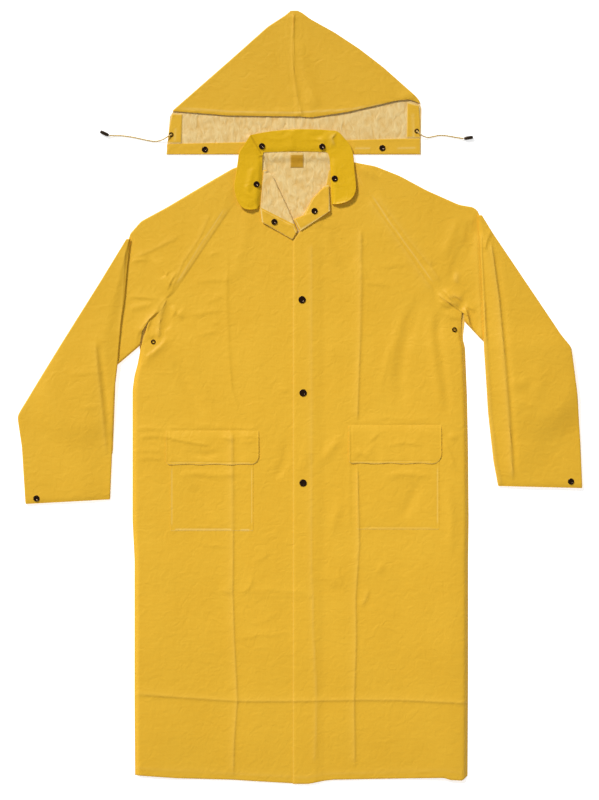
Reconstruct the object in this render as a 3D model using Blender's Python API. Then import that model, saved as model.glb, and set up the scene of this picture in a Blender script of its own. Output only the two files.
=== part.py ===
"""Hooded raincoat laid flat: raglan coat, detachable hood, sleeves folded in.

The coat lies on its back on the plane z = 0, hem towards -Y and hood towards +Y.
Left and right are as seen from above. Tables are in millimetres, meshes in metres.
"""
import math
from collections import Counter, namedtuple

import bmesh
import bpy
import numpy as np

MM = 0.001

# Cloth and how its layers lie
CLOTH = 1.2                # wall of the coated cloth
GAP = 0.3                  # air between two layers, and at a seam
PITCH = CLOTH + GAP        # from one layer to the next
FACING = 1.0               # thin strip welded inside a front edge
COLLAR = 1.8               # two plies welded together
SLEEVE_DEPTH = 3.0         # between the middles of a sleeve's two layers
TUCK_DEPTH = PITCH         # the same in the folded tuck, pressed flat
HOOD_DEPTH = 3.0           # the same in the hood
UPPER_RISE = CLOTH + SLEEVE_DEPTH + GAP   # what lies on the upper sleeve starts here
TUCK_RISE = CLOTH + TUCK_DEPTH + GAP      # and what lies on the tuck, this much higher
NECK_CLIMB = 2 * PITCH     # the back's neck edge lies on the hood's neck edge
COLLAR_BASE = 4.7
QUARTER = np.linspace(0.0, math.pi / 2, 3)   # angles round a fold, from its tip to its flat side

# Front opening
CENTRE_EDGE = -14.0        # X of the right front's edge
UNDER_EDGE = 25.0          # X of the left front's edge, hidden under the right one
LAP_EDGE = UNDER_EDGE + 2  # the right front starts to come down here
LAP_FOOT = LAP_EDGE + 22   # and lies flat from here

# Hardware
SNAP_RADIUS = 7.2
SNAP_HEIGHT = 1.4
EYELET_RADIUS = 4.6
EYELET_HOLE = 2.2
EYELET_HEIGHT = 1.2
CORD_DIAMETER = 2.6
CORD_END_RADIUS = 3.4
CORD_POINTS = 26

Finish = namedtuple("Finish", "name colour roughness metallic")
YELLOW = Finish("yellow_coated_cloth", (0.78, 0.45, 0.04), 0.45, 0.0)
LABEL = Finish("yellow_label", (0.62, 0.36, 0.05), 0.6, 0.0)
BLACK = Finish("black_lacquered_brass", (0.02, 0.016, 0.014), 0.3, 0.6)
BRONZE = Finish("dark_brass", (0.12, 0.07, 0.03), 0.4, 0.9)
STRING = Finish("braided_string", (0.80, 0.62, 0.28), 0.8, 0.0)
DARK = Finish("dark_cord_end", (0.10, 0.07, 0.04), 0.5, 0.0)

# Outlines: short runs of points, X across and Y up the garment
P = namedtuple("P", "x y")

SIDE = {  # from the hem to the armpit
    "left": (P(-321, -735), P(-322, -585), P(-322, -317), P(-326, -239), P(-326, 14), P(-322, 43),
             P(-317, 60), P(-309, 95), P(-303, 126)),
    "right": (P(326, -735), P(327, -540), P(327, -317), P(328, -239), P(327, -105), P(325, 0),
              P(321, 97), P(314.5, 120), P(313.5, 144), P(315, 172)),
}
RAGLAN = {  # raw edge of the sleeve, from the neck to the armpit
    "left": (P(-109, 451), P(-111, 412), P(-126, 376), P(-185, 290), P(-240, 207), P(-257, 191),
             P(-270, 167), P(-280, 161), P(-297, 142), P(-305, 128), P(-312, 99)),
    "right": (P(89, 455), P(113, 432), P(130, 402), P(194, 305), P(234, 254), P(272, 193),
              P(286, 187.5), P(299, 180), P(309, 175), P(317.5, 166), P(320, 146)),
}
FRONT_RAGLAN = {  # edge of the front hidden under the sleeve, from the armpit to the neck
    "left": (P(-303, 126), P(-295, 147), P(-284, 172), P(-272, 192), P(-256, 222), P(-204, 299),
             P(-146, 385), P(-132, 410), P(-128, 441)),
    "right": (P(315, 172), P(307, 184), P(295, 199), P(286, 216), P(255, 264), P(214, 315),
              P(150, 406), P(130, 428), P(108, 441)),
}
CENTRE = {  # free edge of each front, from the hem to where its corner turns back
    "left": (P(UNDER_EDGE, -735), P(UNDER_EDGE, 262), P(-4, 318)),
    "right": (P(CENTRE_EDGE, -735), P(CENTRE_EDGE, 300), P(-13.5, 305), P(-3.5, 319.5)),
}
NECK_END = {"left": P(-66, 441), "right": P(56, 441)}
HEM_DROP = {  # x, and how far the hem reaches below its row there
    "left": (P(-322, 0), P(-238, 6), P(-134, 9), P(-15, 16), P(UNDER_EDGE, 16)),
    "right": (P(-14, 17), P(16, 17), P(47, 11), P(65, 9), P(279, 5), P(293, 9), P(315, 10), P(327, 1)),
}

# Front corners turned back: rows from the fold to the neck edge, parallel to the front edge
CornerRow = namedtuple("CornerRow", "fold_x fold_y neck_x neck_y")
CORNER = {
    "left": (CornerRow(-6.5, 321, -74, 340), CornerRow(-11, 331, -78, 365), CornerRow(-24, 362, -77.5, 385),
             CornerRow(-39, 394, -76, 404), CornerRow(-54, 426, -72.5, 428), CornerRow(-63, 439, -71, 439)),
    "right": (CornerRow(0.5, 322.5, 58, 361), CornerRow(-11.5, 344.5, 57.8, 366),
              CornerRow(8, 352.5, 57.6, 375), CornerRow(15.5, 367, 57.4, 384), CornerRow(25, 385, 57, 394),
              CornerRow(51, 410, 56, 412)),
}
CORNER_TIP = {"left": P(-14.8, 306), "right": P(12, 330)}   # second point of the front edge
CORNER_SHARES = (0.21, 0.6, 1.0)                            # columns from the fold to the neck edge
CORNER_BASE = {"left": 2 * PITCH, "right": 3 * PITCH}
CORNER_LIFT = 3.0          # how far the free corner springs up
CORNER_LEVELS = (0.1, 0.35, 1.0)
FACING_ROWS = {"left": 2, "right": 6}                       # corner rows that the facing covers

# Sleeves
SHOULDER = {
    "left": (P(-109, 451), P(-130, 445), P(-170, 422), P(-259, 369), P(-309, 342), P(-322, 331)),
    "right": (P(89, 455), P(103, 457), P(146, 449), P(194, 430), P(246, 402), P(309, 374), P(338, 367),
              P(348, 358)),
}
UNDERARM = {
    "left": (P(-312, 99), P(-353, 64), P(-424, 11)),
    "right": (P(320, 146), P(353, 111), P(462, 26)),
}
LOWER_OUTER = {  # from the cuff up to the shoulder
    "left": (P(-534, -208), P(-541, -97), P(-549, -44), P(-549, -36), P(-543, -25), P(-465, 101),
             P(-389, 222), P(-339, 301)),
    "right": (P(549, -177), P(545, -84), P(539, 4), P(527, 97), P(507, 121), P(373, 320), P(358, 344)),
}
LOWER_INNER = {
    "left": (P(-369, -199), P(-360, 13), P(-354, 64), P(-347, 148), P(-341, 186), P(-335, 253), P(-329, 301)),
    "right": (P(385, -173), P(376, -126), P(365, -29), P(357, 93), P(353, 211), P(348, 344)),
}
TUCK_HIDDEN = {"left": (P(-374, -110), P(-421, 13), P(-348, 262)),
               "right": (P(381, -70), P(459, 28), P(364, 300))}
TUCK_SHOWN = {"left": (P(-364, -110), P(-357, 64), P(-338, 262)),
              "right": (P(371, -70), P(361, 93), P(354, 300))}
UPPER_COLUMNS = {"left": (0, 0.09, 0.19, 0.31, 0.44, 0.56, 0.68, 0.735, 0.8, 0.83, 0.89, 0.93, 1),
                 "right": (0, 0.08, 0.17, 0.31, 0.457, 0.54, 0.62, 0.71, 0.8, 0.835, 0.87, 0.9, 0.943, 1)}
HIDDEN_COLUMNS = {"left": UPPER_COLUMNS["left"],      # the same columns' places along the hidden fold
                  "right": (0, 0.06, 0.12, 0.2, 0.3, 0.36, 0.42, 0.48, 0.53, 0.56, 0.6, 0.66, 0.8, 1)}
UPPER_STATIONS = (0, 0.16, 0.36, 0.56, 0.78, 1)
LOWER_COLUMNS = (0, 0.12, 0.28, 0.46, 0.64, 0.82, 1)
LOWER_STATIONS = (0, 0.12, 0.22, 0.3, 0.37, 0.44, 0.52, 0.6, 0.68, 0.76, 0.88, 1)
TUCK_COLUMNS = (0, 0.5, 1)
TUCK_STATIONS = (0, 0.12, 0.24, 0.38, 0.6, 0.8, 1)
Drape = namedtuple("Drape", "level fall")
TUCK_DRAPE = Drape(36, 60)     # how far a layer stays up past what it lies on, and comes down
LOWER_DRAPE = Drape(58, 60)

# Collar: sections from the left front end round the back to the right front end
Section = namedtuple("Section", "inner_x inner_y outer_x outer_y inner_z lift")
COLLAR_SECTIONS = (
    Section(-82, 365, -97, 363, 3.6, 4.4), Section(-81, 370, -111, 367, 3.3, 4.4),
    Section(-80.5, 377, -120, 377, 3.1, 4.2), Section(-80, 388, -126, 394, 3.1, 3.6),
    Section(-79.5, 403, -128, 410, 3.1, 2.8), Section(-77.5, 425, -124.5, 433, 3.1, 1.6),
    Section(-76, 448, -121, 458, 3.4, 1.0), Section(-75.5, 462, -118, 475, 4.9, 1.0),
    Section(-74, 468, -108, 491, 6.2, 1.5), Section(-71.5, 473, -97, 507, 6.2, 1.5),
    Section(-68.5, 475, -91, 510, 4.7, 0.0), Section(-50, 476, -58, 516, 4.7, 0.0),
    Section(-10, 477, -14, 520, 4.7, 0.0), Section(25, 476.5, 25, 520, 4.7, 0.0),
    Section(46, 476, 58, 518, 4.7, 0.3), Section(53, 474, 74, 515, 4.8, 0.8),
    Section(55.5, 469, 86, 503, 4.8, 1.2), Section(57.5, 461, 98, 488, 4.6, 1.2),
    Section(58.5, 446, 104, 468, 3.6, 1.4), Section(59.5, 430, 106, 440, 3.1, 2.2),
    Section(60, 404, 109, 409, 3.1, 3.6), Section(60.5, 391, 106, 393, 3.1, 4.0),
    Section(61, 381, 98, 383, 3.1, 4.4), Section(61.5, 376.5, 84, 376.5, 3.3, 4.4),
    Section(62, 374.5, 70, 374, 3.6, 4.0),
)
COLLAR_SHARES = (0.0, 0.14, 0.35, 0.62, 0.88, 1.0)
COLLAR_ROLL = (0.0, 1.0, 0.9, 0.6, 0.25, 0.0)     # crown of the roll beside the neck edge

# Hood
HOOD_FOLD = {
    "left": (P(-20, 750.5), P(-24, 745.5), P(-32, 740), P(-63, 720), P(-136, 655), P(-193, 605),
             P(-249.5, 555.5)),
    "right": (P(-3, 751), P(5, 746.5), P(20, 735), P(67, 709), P(114, 678), P(161, 642), P(197, 610),
              P(223, 587), P(233, 576), P(234.5, 570)),
}
HOOD_SEAM = (P(-12, 751), P(-14, 668), P(-4, 579), P(-1, 545))
HOOD_BACK_SEAM = (P(-12, 751), P(-12, 553))
FACE_EDGE = {"left": (P(-1, 545), P(-141, 547), P(-238, 555), P(-249.5, 555.5)),
             "right": (P(-1, 545), P(20, 543), P(93, 554), P(145, 566), P(187, 576), P(213, 578.5),
                       P(226, 573.5), P(234.5, 570))}
HOOD_SIDE = {"left": (P(-253, 546), P(-256, 511), P(-260, 471.5)),
             "right": (P(236, 563), P(235, 511), P(235, 471.5))}
HOOD_FRONT_SHARES = (0, 0.15, 0.35, 0.6, 0.8, 1)
HOOD_BACK_SHARES = (0, 0.2, 0.5, 0.8, 1)
HOOD_ROWS = (0, 0.1, 0.22, 0.36, 0.5, 0.64, 0.78, 0.9, 1)
FACE_SPRING = {"left": 0.3, "right": 1.0}          # the face edge stands this far off
BAND = (P(-259, 492), P(234, 503))                 # upper edge of the neck band
BAND_FOOT = 472.0
CASING = {"left": ((P(-251, 543), P(-255.5, 511), P(-257, 494)), (P(-229, 543), P(-230, 511), P(-231, 494))),
          "right": ((P(233, 560), P(234, 530), P(234, 504)), (P(208, 562), P(208, 530), P(207.5, 504)))}

# Pockets and flaps
Patch = namedtuple("Patch", "name x_low x_high y_low y_high round_left round_right")
POCKETS = {"left": Patch("pocket_left", -252, -91, -260, -107, 2, 2),
           "right": Patch("pocket_right", 110, 270, -257, -103, 2, 2)}
FLAPS = {"left": Patch("pocket_flap_left", -260, -80, -131, -65, 8, 17),
         "right": Patch("pocket_flap_right", 95, 274.9, -129, -54, 8, 19)}
POCKET_ROW = -120.0        # the fronts have one cross-section from here to the pocket's foot and the waist

# Relief of each front: how far each column stands above the flat, low on the body and on the chest
Column = namedtuple("Column", "x body chest")
SIDE_ROUND = (Column(0, -1.5, 0), Column(3, -1.5, 0), Column(6.5, 0.2, 0), Column(12, 1.5, 0),
              Column(24, 2.3, 0))     # x counted in from the side edge
FRONT_COLUMNS = {
    "left": (Column(-262, 2.0, 0.4), Column(-198, 0.9, 0.9), Column(-130, 0.1, 0.7), Column(-88, 0.9, 0.4),
             Column(-45, 0.5, 0), Column(-18, 0, 0)),
    "right": (Column(276, 2.0, 0.4), Column(200, 0.8, 0.9), Column(110, 0.1, 0.7), Column(78, 0.7, 0.3),
              Column(LAP_FOOT, 0, 0), Column(LAP_EDGE, 0, 0)),
}
CrossFold = namedtuple("CrossFold", "y lift")
CROSS_FOLDS = (CrossFold(-735, 0.2), CrossFold(-660, 0.7), CrossFold(-590, 0), CrossFold(-490, 0.8),
               CrossFold(-385, 0.1), CrossFold(-320, 0.5), CrossFold(-266, 0), CrossFold(-50, 0), CrossFold(0, 0))
CROSS_SHARE = (0, 0, 0, 0.5, 1)        # share of a cross fold in each of the side's columns
CHEST_FADE = (150.0, 280.0)            # the chest goes flat between these heights
FRONT_ROWS = (-735, -660, -590, -490, -385, -317, -266, -239, -190, -131, -105, -50, 0, 14, 43, 60, 78, 95)

SnapPlace = namedtuple("SnapPlace", "name x y z")
HOOD_SNAP_Z = 2 * PITCH
FRONT_SNAP_Z = 3 * PITCH
CUFF_SNAP_Z = CLOTH + SLEEVE_DEPTH + GAP
EyeletPlace = namedtuple("EyeletPlace", "name x y z")


# ---- outlines and grids -------------------------------------------------------------------

def run(points, shares):
    """Points at the given shares of the length of a run."""
    line = np.array(points, dtype=float)
    length = np.concatenate([[0.0], np.cumsum(np.hypot(*np.diff(line, axis=0).T))])
    at = np.asarray(shares) * length[-1]
    return np.column_stack([np.interp(at, length, line[:, 0]), np.interp(at, length, line[:, 1])])


def x_at(points, y):
    """X of a run of points at height y; the run goes steadily up or down."""
    line = np.array(points, dtype=float)
    order = np.argsort(line[:, 1], kind="stable")
    return float(np.interp(y, line[order, 1], line[order, 0]))


def patch_between(first, last, start, end, rows, cols, last_cols=None):
    """Grid filled in from its four edges: the first and last row, the start and end column."""
    first, last = run(first, cols), run(last, last_cols or cols)
    start, end = run(start, rows), run(end, rows)
    v = np.asarray(rows, dtype=float)[:, None, None]
    u = np.asarray(cols, dtype=float)[None, :, None]
    ruled = (1 - v) * first[None] + v * last[None] + (1 - u) * start[:, None] + u * end[:, None]
    corners = (1 - v) * ((1 - u) * first[0] + u * first[-1]) + v * ((1 - u) * last[0] + u * last[-1])
    return ruled - corners


def smooth(t):
    """Ease from 0 to 1."""
    t = np.clip(t, 0.0, 1.0)
    return t * t * (3 - 2 * t)


def outside(x, y, polygon):
    """Distance from each point to a polygon, 0 inside it."""
    corners = np.array(polygon, dtype=float)
    nearest = np.full(np.shape(x), np.inf)
    inside = np.zeros(np.shape(x), dtype=bool)
    for (ax, ay), (bx, by) in zip(corners, np.roll(corners, -1, axis=0)):
        span = (bx - ax) ** 2 + (by - ay) ** 2
        t = np.clip(((x - ax) * (bx - ax) + (y - ay) * (by - ay)) / span, 0.0, 1.0)
        nearest = np.minimum(nearest, np.hypot(x - ax - t * (bx - ax), y - ay - t * (by - ay)))
        if ay != by:
            inside ^= ((ay > y) != (by > y)) & (x < ax + (y - ay) * (bx - ax) / (by - ay))
    return np.where(inside, 0.0, nearest)


def raised(xy, z):
    """A grid of XY points given its heights."""
    return np.dstack([xy, np.broadcast_to(z, xy.shape[:2])])


# ---- solids -------------------------------------------------------------------------------

def material(finish):
    """The material for a finish, made once."""
    found = bpy.data.materials.get(finish.name)
    if found:
        return found
    made = bpy.data.materials.new(finish.name)
    made.use_nodes = True
    shader = made.node_tree.nodes["Principled BSDF"]
    shader.inputs["Base Color"].default_value = (*finish.colour, 1.0)
    shader.inputs["Roughness"].default_value = finish.roughness
    shader.inputs["Metallic"].default_value = finish.metallic
    return made


def place(name, mesh, finish):
    """Add a mesh to the scene as one named piece."""
    mesh.materials.append(material(finish))
    mesh.shade_smooth()
    mesh.set_sharp_from_angle(angle=math.radians(35))
    piece = bpy.data.objects.new(name, mesh)
    bpy.context.scene.collection.objects.link(piece)
    return piece


def wall(name, under, over, finish, ring=False, closed_end=False, cells=None):
    """One closed solid between two grids of points, with a rim wherever its cells end.

    ring joins the last column to the first, as round a tube. closed_end leaves the last row
    without a rim, where a tube has been folded shut. cells marks the cells that are there.
    """
    rows, cols = under.shape[:2]
    layer = rows * cols
    if cells is None:
        cells = np.ones((rows - 1, cols if ring else cols - 1), dtype=bool)
    tips = (0, cols // 2)
    skin = []
    for i, j in np.argwhere(cells).tolist():
        k = (j + 1) % cols
        a, b, c, d = i * cols + j, i * cols + k, (i + 1) * cols + k, (i + 1) * cols + j
        if closed_end and i == rows - 2 and j in tips:
            skin += [(a, b, d), (b, c, d)]
        elif closed_end and i == rows - 2 and k in tips:
            skin += [(a, b, c), (a, c, d)]
        else:
            skin.append((a, b, c, d))
    uses = Counter(tuple(sorted(edge)) for face in skin for edge in zip(face, face[1:] + face[:1]))
    last_row = layer - cols
    rims = [edge for edge, count in uses.items()
            if count == 1 and not (closed_end and min(edge) >= last_row)]
    faces = skin + [tuple(v + layer for v in face) for face in skin]
    faces += [(a, b, b + layer, a + layer) for a, b in rims]
    points = np.concatenate([under.reshape(-1, 3), over.reshape(-1, 3)]) * MM
    mesh = bpy.data.meshes.new(name)
    mesh.from_pydata(points.tolist(), [], faces)
    shape = bmesh.new()
    shape.from_mesh(mesh)
    bmesh.ops.delete(shape, geom=[v for v in shape.verts if not v.link_faces], context="VERTS")
    bmesh.ops.remove_doubles(shape, verts=shape.verts, dist=2e-6)
    bmesh.ops.recalc_face_normals(shape, faces=shape.faces)
    shape.to_mesh(mesh)
    shape.free()
    return place(name, mesh, finish)


def sheet(name, xy, under, finish, thickness=CLOTH):
    """A flat-lying wall over an XY grid, its underside at the given heights."""
    return wall(name, raised(xy, under), raised(xy, under + thickness), finish)


def unit(v):
    """Vectors made one long."""
    return v / np.maximum(np.linalg.norm(v, axis=-1, keepdims=True), 1e-9)


def slants(headings, edges):
    """Sine of the angle between directions, kept off nothing."""
    cross = headings[..., 0] * edges[..., 1] - headings[..., 1] * edges[..., 0]
    return np.maximum(np.abs(cross), 0.3)


def line_with_folds(line, edges, shares, radius, near):
    """A row's points, with those of the folds at its two ends.

    near gives the distances of the fold's points square to the edge, from the tip in to the
    flat side; the other points are spread between the two flat sides.
    """
    start_way, end_way = unit(line[1] - line[0]), unit(line[-2] - line[-1])
    start_slant, end_slant = slants(start_way, edges[0]), slants(end_way, edges[1])
    length = np.hypot(*np.diff(line, axis=0).T).sum()
    low, high = radius / start_slant / length, 1 - radius / end_slant / length
    inner = run(line, low + np.array(shares[1:-1]) * (high - low))
    start = line[0] + start_way * (near / start_slant)[:, None]
    end = line[-1] + end_way * (near / end_slant)[:, None]
    return np.concatenate([start, inner, end[::-1]])


def tube_plan(xy, shares, radius, skin_radius):
    """XY rows of one skin of a flat tube, folds and shut end included, from a grid of stations."""
    near = radius - skin_radius * np.cos(QUARTER)
    rows, ways = unit(np.gradient(xy[-1], axis=0)), unit(xy[-2] - xy[-1])
    steps = ways / slants(ways, rows)[:, None]
    stations = np.concatenate([xy[:-1], [xy[-1] + steps * d for d in near[::-1]]])
    edges = unit(np.gradient(stations[:, (0, -1)], axis=0))
    return np.array([line_with_folds(line, edge, shares, radius, near) for line, edge in zip(stations, edges)])


def tube(name, xy, shares, rise, depth, finish):
    """A tube of cloth pressed flat, open at its first station and folded shut at its last.

    xy has one row for each station, from one folded edge to the other. rise gives the height of
    what the tube lies on, and depth is between the middles of its two layers.
    """
    radius = (depth + CLOTH) / 2
    folded = np.sin(QUARTER)
    across = np.concatenate([folded, np.ones(len(shares) - 2), folded[::-1]])
    along = np.concatenate([np.ones(len(xy) - 1), folded[::-1]])
    rings = []
    for skin_radius in (radius - CLOTH, radius):
        lines = tube_plan(xy, shares, radius, skin_radius)
        level = rise(lines[..., 0], lines[..., 1]) + radius
        half = skin_radius * np.outer(along, across)
        top, bottom = raised(lines, level + half), raised(lines, level - half)
        rings.append(np.concatenate([top, bottom[:, -2:0:-1]], axis=1))
    return wall(name, rings[0], rings[1], finish, ring=True, closed_end=True)


def disc(name, x, y, rings, finish):
    """A round piece turned from a closed list of (radius, z) points; a hole stays where none is 0."""
    steps = 12
    angles = np.arange(steps) * 2 * math.pi / steps
    mesh = bpy.data.meshes.new(name)
    shape = bmesh.new()
    loops = []
    for radius, z in rings:
        spots = [(0.0, 0.0)] if radius == 0 else [(radius * math.cos(a), radius * math.sin(a)) for a in angles]
        loops.append([shape.verts.new(((x + dx) * MM, (y + dy) * MM, z * MM)) for dx, dy in spots])
    closed = rings[0][0] > 0
    pairs = list(zip(loops, loops[1:] + loops[:1])) if closed else list(zip(loops, loops[1:]))
    for low, high in pairs:
        for k in range(steps):
            corners = [low[k % len(low)], low[(k + 1) % len(low)], high[(k + 1) % len(high)], high[k % len(high)]]
            shape.faces.new(list(dict.fromkeys(corners)))
    bmesh.ops.recalc_face_normals(shape, faces=shape.faces)
    shape.to_mesh(mesh)
    shape.free()
    return place(name, mesh, finish)


# ---- body ---------------------------------------------------------------------------------

def raglan_seam(side):
    """Where the sleeve's lower layer meets the back, from the shoulder to the armpit."""
    radius = (SLEEVE_DEPTH + CLOTH) / 2
    seam = tube_plan(upper_grid(side), UPPER_COLUMNS[side], radius, radius)[0]
    return [point for point in seam.tolist() if point[1] > RAGLAN[side][-2].y + 2]


def back_climb(y):
    """Height of the back's underside: flat, then climbing over the hood's neck edge."""
    return np.interp(y, [456, 468], [0.0, NECK_CLIMB])


def back():
    """The back, flat on the ground up to its neck edge."""
    inset = 6.8                     # the fronts wrap down outside it
    gap = 1.6 * GAP
    left_edge = [(p.x + inset, p.y) for p in SIDE["left"][:-1]] + [(-299, 122)]
    left_edge += [(x + gap, y - gap) for x, y in raglan_seam("left")[::-1]]
    right_edge = [(p.x - inset, p.y) for p in SIDE["right"][:-1]] + [(308, 168)]
    right_edge += [(x - gap, y - gap) for x, y in raglan_seam("right")[::-1]]
    neck = ((456, -104, 84), (468, -98, 80), (477, -94, 76))
    heights = sorted({round(y, 2) for _, y in left_edge + right_edge if y < 453})
    rows = [(y, x_at(left_edge, y), x_at(right_edge, y)) for y in heights] + list(neck)
    x = np.array([np.linspace(low, high, 5) for _, low, high in rows])
    y = np.repeat([[row[0]] for row in rows], 5, axis=1).astype(float)
    y[0] -= np.interp(x[0], [-322, -134, -14, 16, 65, 327], [0, 5, 13, 13, 5, 0])
    return sheet("back", np.dstack([x, y]), back_climb(y), YELLOW)


def label():
    """The bare patch inside the back of the neck."""
    heights = (446, 456, 468, 474)
    xy = np.array([[(x, y) for x in (-18.6, 6.4)] for y in heights], dtype=float)
    return sheet("label", xy, back_climb(xy[..., 1]) + PITCH, LABEL, FACING)


def front_shape(side, y, edge, centre):
    """X and height of a front's columns for one row, from its side edge to its centre edge."""
    sign = 1 if side == "left" else -1
    top = SIDE[side][-1].y
    body = float(smooth((top - 12 - y) / 50))
    chest = (1 - body) * float(1 - smooth((y - CHEST_FADE[0]) / (CHEST_FADE[1] - CHEST_FADE[0])))
    fixed = [c.x for c in FRONT_COLUMNS[side]]
    near = [sign * c.x for c in SIDE_ROUND]
    anchor = centre if side == "left" else max(LAP_FOOT, centre + 8)
    if y > 96:
        reference = x_at(SIDE[side], 96)
        whole = (UNDER_EDGE if side == "left" else LAP_FOOT) - reference
        scale = (anchor - edge) / whole
        fixed = [edge + (x - reference) * scale for x in fixed]
        near = [d * scale for d in near]
        if side == "right":
            fixed[-1] = max(LAP_EDGE, centre + 4)
    x = [edge + d for d in near] + fixed + [centre]
    columns = SIDE_ROUND + FRONT_COLUMNS[side]
    cross = float(np.interp(y, [c.y for c in CROSS_FOLDS], [c.lift for c in CROSS_FOLDS]))
    shares = list(CROSS_SHARE) + [1] * len(FRONT_COLUMNS[side])
    shares[-1] = 0
    if side == "right":
        shares[-2] = 0
    z = [body * c.body + chest * c.chest + cross * share for c, share in zip(columns, shares)] + [0.0]
    if side == "right":
        z = [h + lap_height(place) for h, place in zip(z, x)]
    return np.array(x), np.array(z) + PITCH


def front_top(side, x, y):
    """Height of a front's upper face at some points of one row."""
    edge = x_at(SIDE[side] if y <= SIDE[side][-1].y else FRONT_RAGLAN[side], y)
    columns_x, columns_z = front_shape(side, y, edge, x_at(CENTRE[side], y))
    order = np.argsort(columns_x)
    return np.interp(x, columns_x[order], columns_z[order]) + CLOTH


def lap_height(x):
    """How far the right front is lifted by the left front's edge under it."""
    return float(np.interp(x, [LAP_EDGE, LAP_FOOT], [PITCH, 0.0]))


def corner_grid(side):
    """XY rows of a turned corner, from its fold to its neck edge."""
    rows = []
    for k, row in enumerate(CORNER[side]):
        line = [P(row.fold_x, row.fold_y), P(row.neck_x, row.neck_y)]
        if k == 0:
            line.insert(1, CORNER_TIP[side])
        rows.append(run(line, (0.0,) + CORNER_SHARES))
    return np.array(rows)


def corner_height(side, row):
    """Heights of the underside of a turned corner along one row, from its fold outwards."""
    spring = CORNER_LIFT * (1 - row / (len(CORNER[side]) - 1))
    return CORNER_BASE[side] + spring * np.array((0.0,) + CORNER_LEVELS)


def front(side):
    """A front with its corner turned back at the neck, in one wall."""
    corner = corner_grid(side)
    top = SIDE[side][-1].y
    extra = [p.y for p in FRONT_RAGLAN[side] + CENTRE[side] if 96 < p.y < corner[0, 0, 1] - 2]
    rows = [(y, x_at(CENTRE[side], y), None) for y in sorted({*FRONT_ROWS, *extra, 230.0})]
    rows += [(corner[k, 0, 1], corner[k, 0, 0], k) for k in range(len(corner))]
    rows.append((NECK_END[side].y, NECK_END[side].x, None))
    heading = unit(np.gradient(np.array([(x, y) for y, x, _ in rows]), axis=0))
    outward = np.column_stack([heading[:, 1], -heading[:, 0]]) * (1 if side == "left" else -1)
    bend = np.radians([-45, 0, 45])
    under, over, turned_rows = [], [], []
    for (y, centre, k), away in zip(rows, outward):
        x, z = front_shape(side, y, x_at(SIDE[side] if y <= top else FRONT_RAGLAN[side], y), centre)
        drop = HEM_DROP[side]
        low = np.interp(x, [p.x for p in drop], [p.y for p in drop]) if y == FRONT_ROWS[0] else 0.0
        flat = np.column_stack([x, y - low + 0 * x])
        turned = corner_height(side, k or 0)
        for skins, face, far in ((under, z, turned + CLOTH), (over, z + CLOTH, turned)):
            radius = (far[0] - face[-1]) / 2
            bead = flat[-1] + away * (radius * np.cos(bend))[:, None]
            level = face[-1] + radius + radius * np.sin(bend)
            plan = np.concatenate([flat, bead, corner[k or 0]])
            skins.append(np.column_stack([plan, np.concatenate([face, level, far])]))
        turned_rows.append(k is not None)
    cells = np.ones((len(rows) - 1, len(under[0]) - 1), dtype=bool)
    both = np.array(turned_rows[:-1]) & np.array(turned_rows[1:])
    cells[~both, len(x) - 1:] = False
    return wall("front_" + side, np.array(under), np.array(over), YELLOW, cells=cells)


def facing(side):
    """The strip inside a front edge, lying on the turned corner."""
    corner = corner_grid(side)[:FACING_ROWS[side]]
    inset = np.array([0.02, 0.3, 0.6, 0.985])
    xy, z = [], []
    for k, line in enumerate(corner):
        heights = corner_height(side, k)
        knots = (0.0,) + CORNER_SHARES
        shares = np.unique(np.concatenate([inset, CORNER_SHARES[:2]]))
        xy.append(np.column_stack([np.interp(shares, knots, line[:, 0]), np.interp(shares, knots, line[:, 1])]))
        z.append(np.interp(shares, knots, heights) + PITCH)
    return sheet("facing_" + side, np.array(xy), np.array(z), YELLOW, FACING)


def patch_grid(patch, breaks):
    """Grid of a pocket or flap with its lower corners rounded, along the front's own columns."""
    left, right = patch.round_left, patch.round_right
    x = sorted({patch.x_low, patch.x_low + left * 0.3, patch.x_low + left, patch.x_high - right,
                patch.x_high - right * 0.55, patch.x_high - right * 0.2, patch.x_high}
               | {b for b in breaks if patch.x_low + left < b < patch.x_high - right})
    x = np.array(x, dtype=float)
    foot = np.full(len(x), float(patch.y_low))
    from_left, from_right = x - patch.x_low, patch.x_high - x
    for reach, radius in ((from_left, left), (from_right, right)):
        inside = np.clip(1 - reach / radius, 0.0, 1.0)
        foot += radius * (1 - np.sqrt(1 - inside ** 2))
    shares = np.array([0.0, 0.35, 0.72, 0.88, 1.0])[:, None]
    return np.dstack([np.repeat(x[None], len(shares), axis=0), foot[None] * (1 - shares) + patch.y_high * shares])


def pocket(side):
    """A patch pocket, one layer above its front."""
    grid = patch_grid(POCKETS[side], [c.x for c in FRONT_COLUMNS[side]])
    return sheet(POCKETS[side].name, grid, front_top(side, grid[..., 0], POCKET_ROW) + GAP, YELLOW)


def flap(side):
    """A pocket flap, welded above the pocket and lying over its mouth."""
    grid = patch_grid(FLAPS[side], [c.x for c in FRONT_COLUMNS[side]])
    foot = FLAPS[side].y_high - 16
    over_pocket = PITCH * smooth((FLAPS[side].y_high - grid[..., 1] - 2) / 12.0)
    spring = 0.5 * np.clip((foot - grid[..., 1]) / 50.0, 0.0, 1.0)
    under = front_top(side, grid[..., 0], POCKET_ROW) + GAP + over_pocket + spring
    return sheet(FLAPS[side].name, grid, under, YELLOW)


# ---- sleeves ------------------------------------------------------------------------------

def upper_grid(side):
    """XY of the sleeve from its raglan edge to the hidden fold."""
    hidden_fold = (SHOULDER[side][-1], UNDERARM[side][-1])
    return patch_between(RAGLAN[side], hidden_fold, SHOULDER[side], UNDERARM[side],
                         UPPER_STATIONS, UPPER_COLUMNS[side], HIDDEN_COLUMNS[side])


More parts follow.
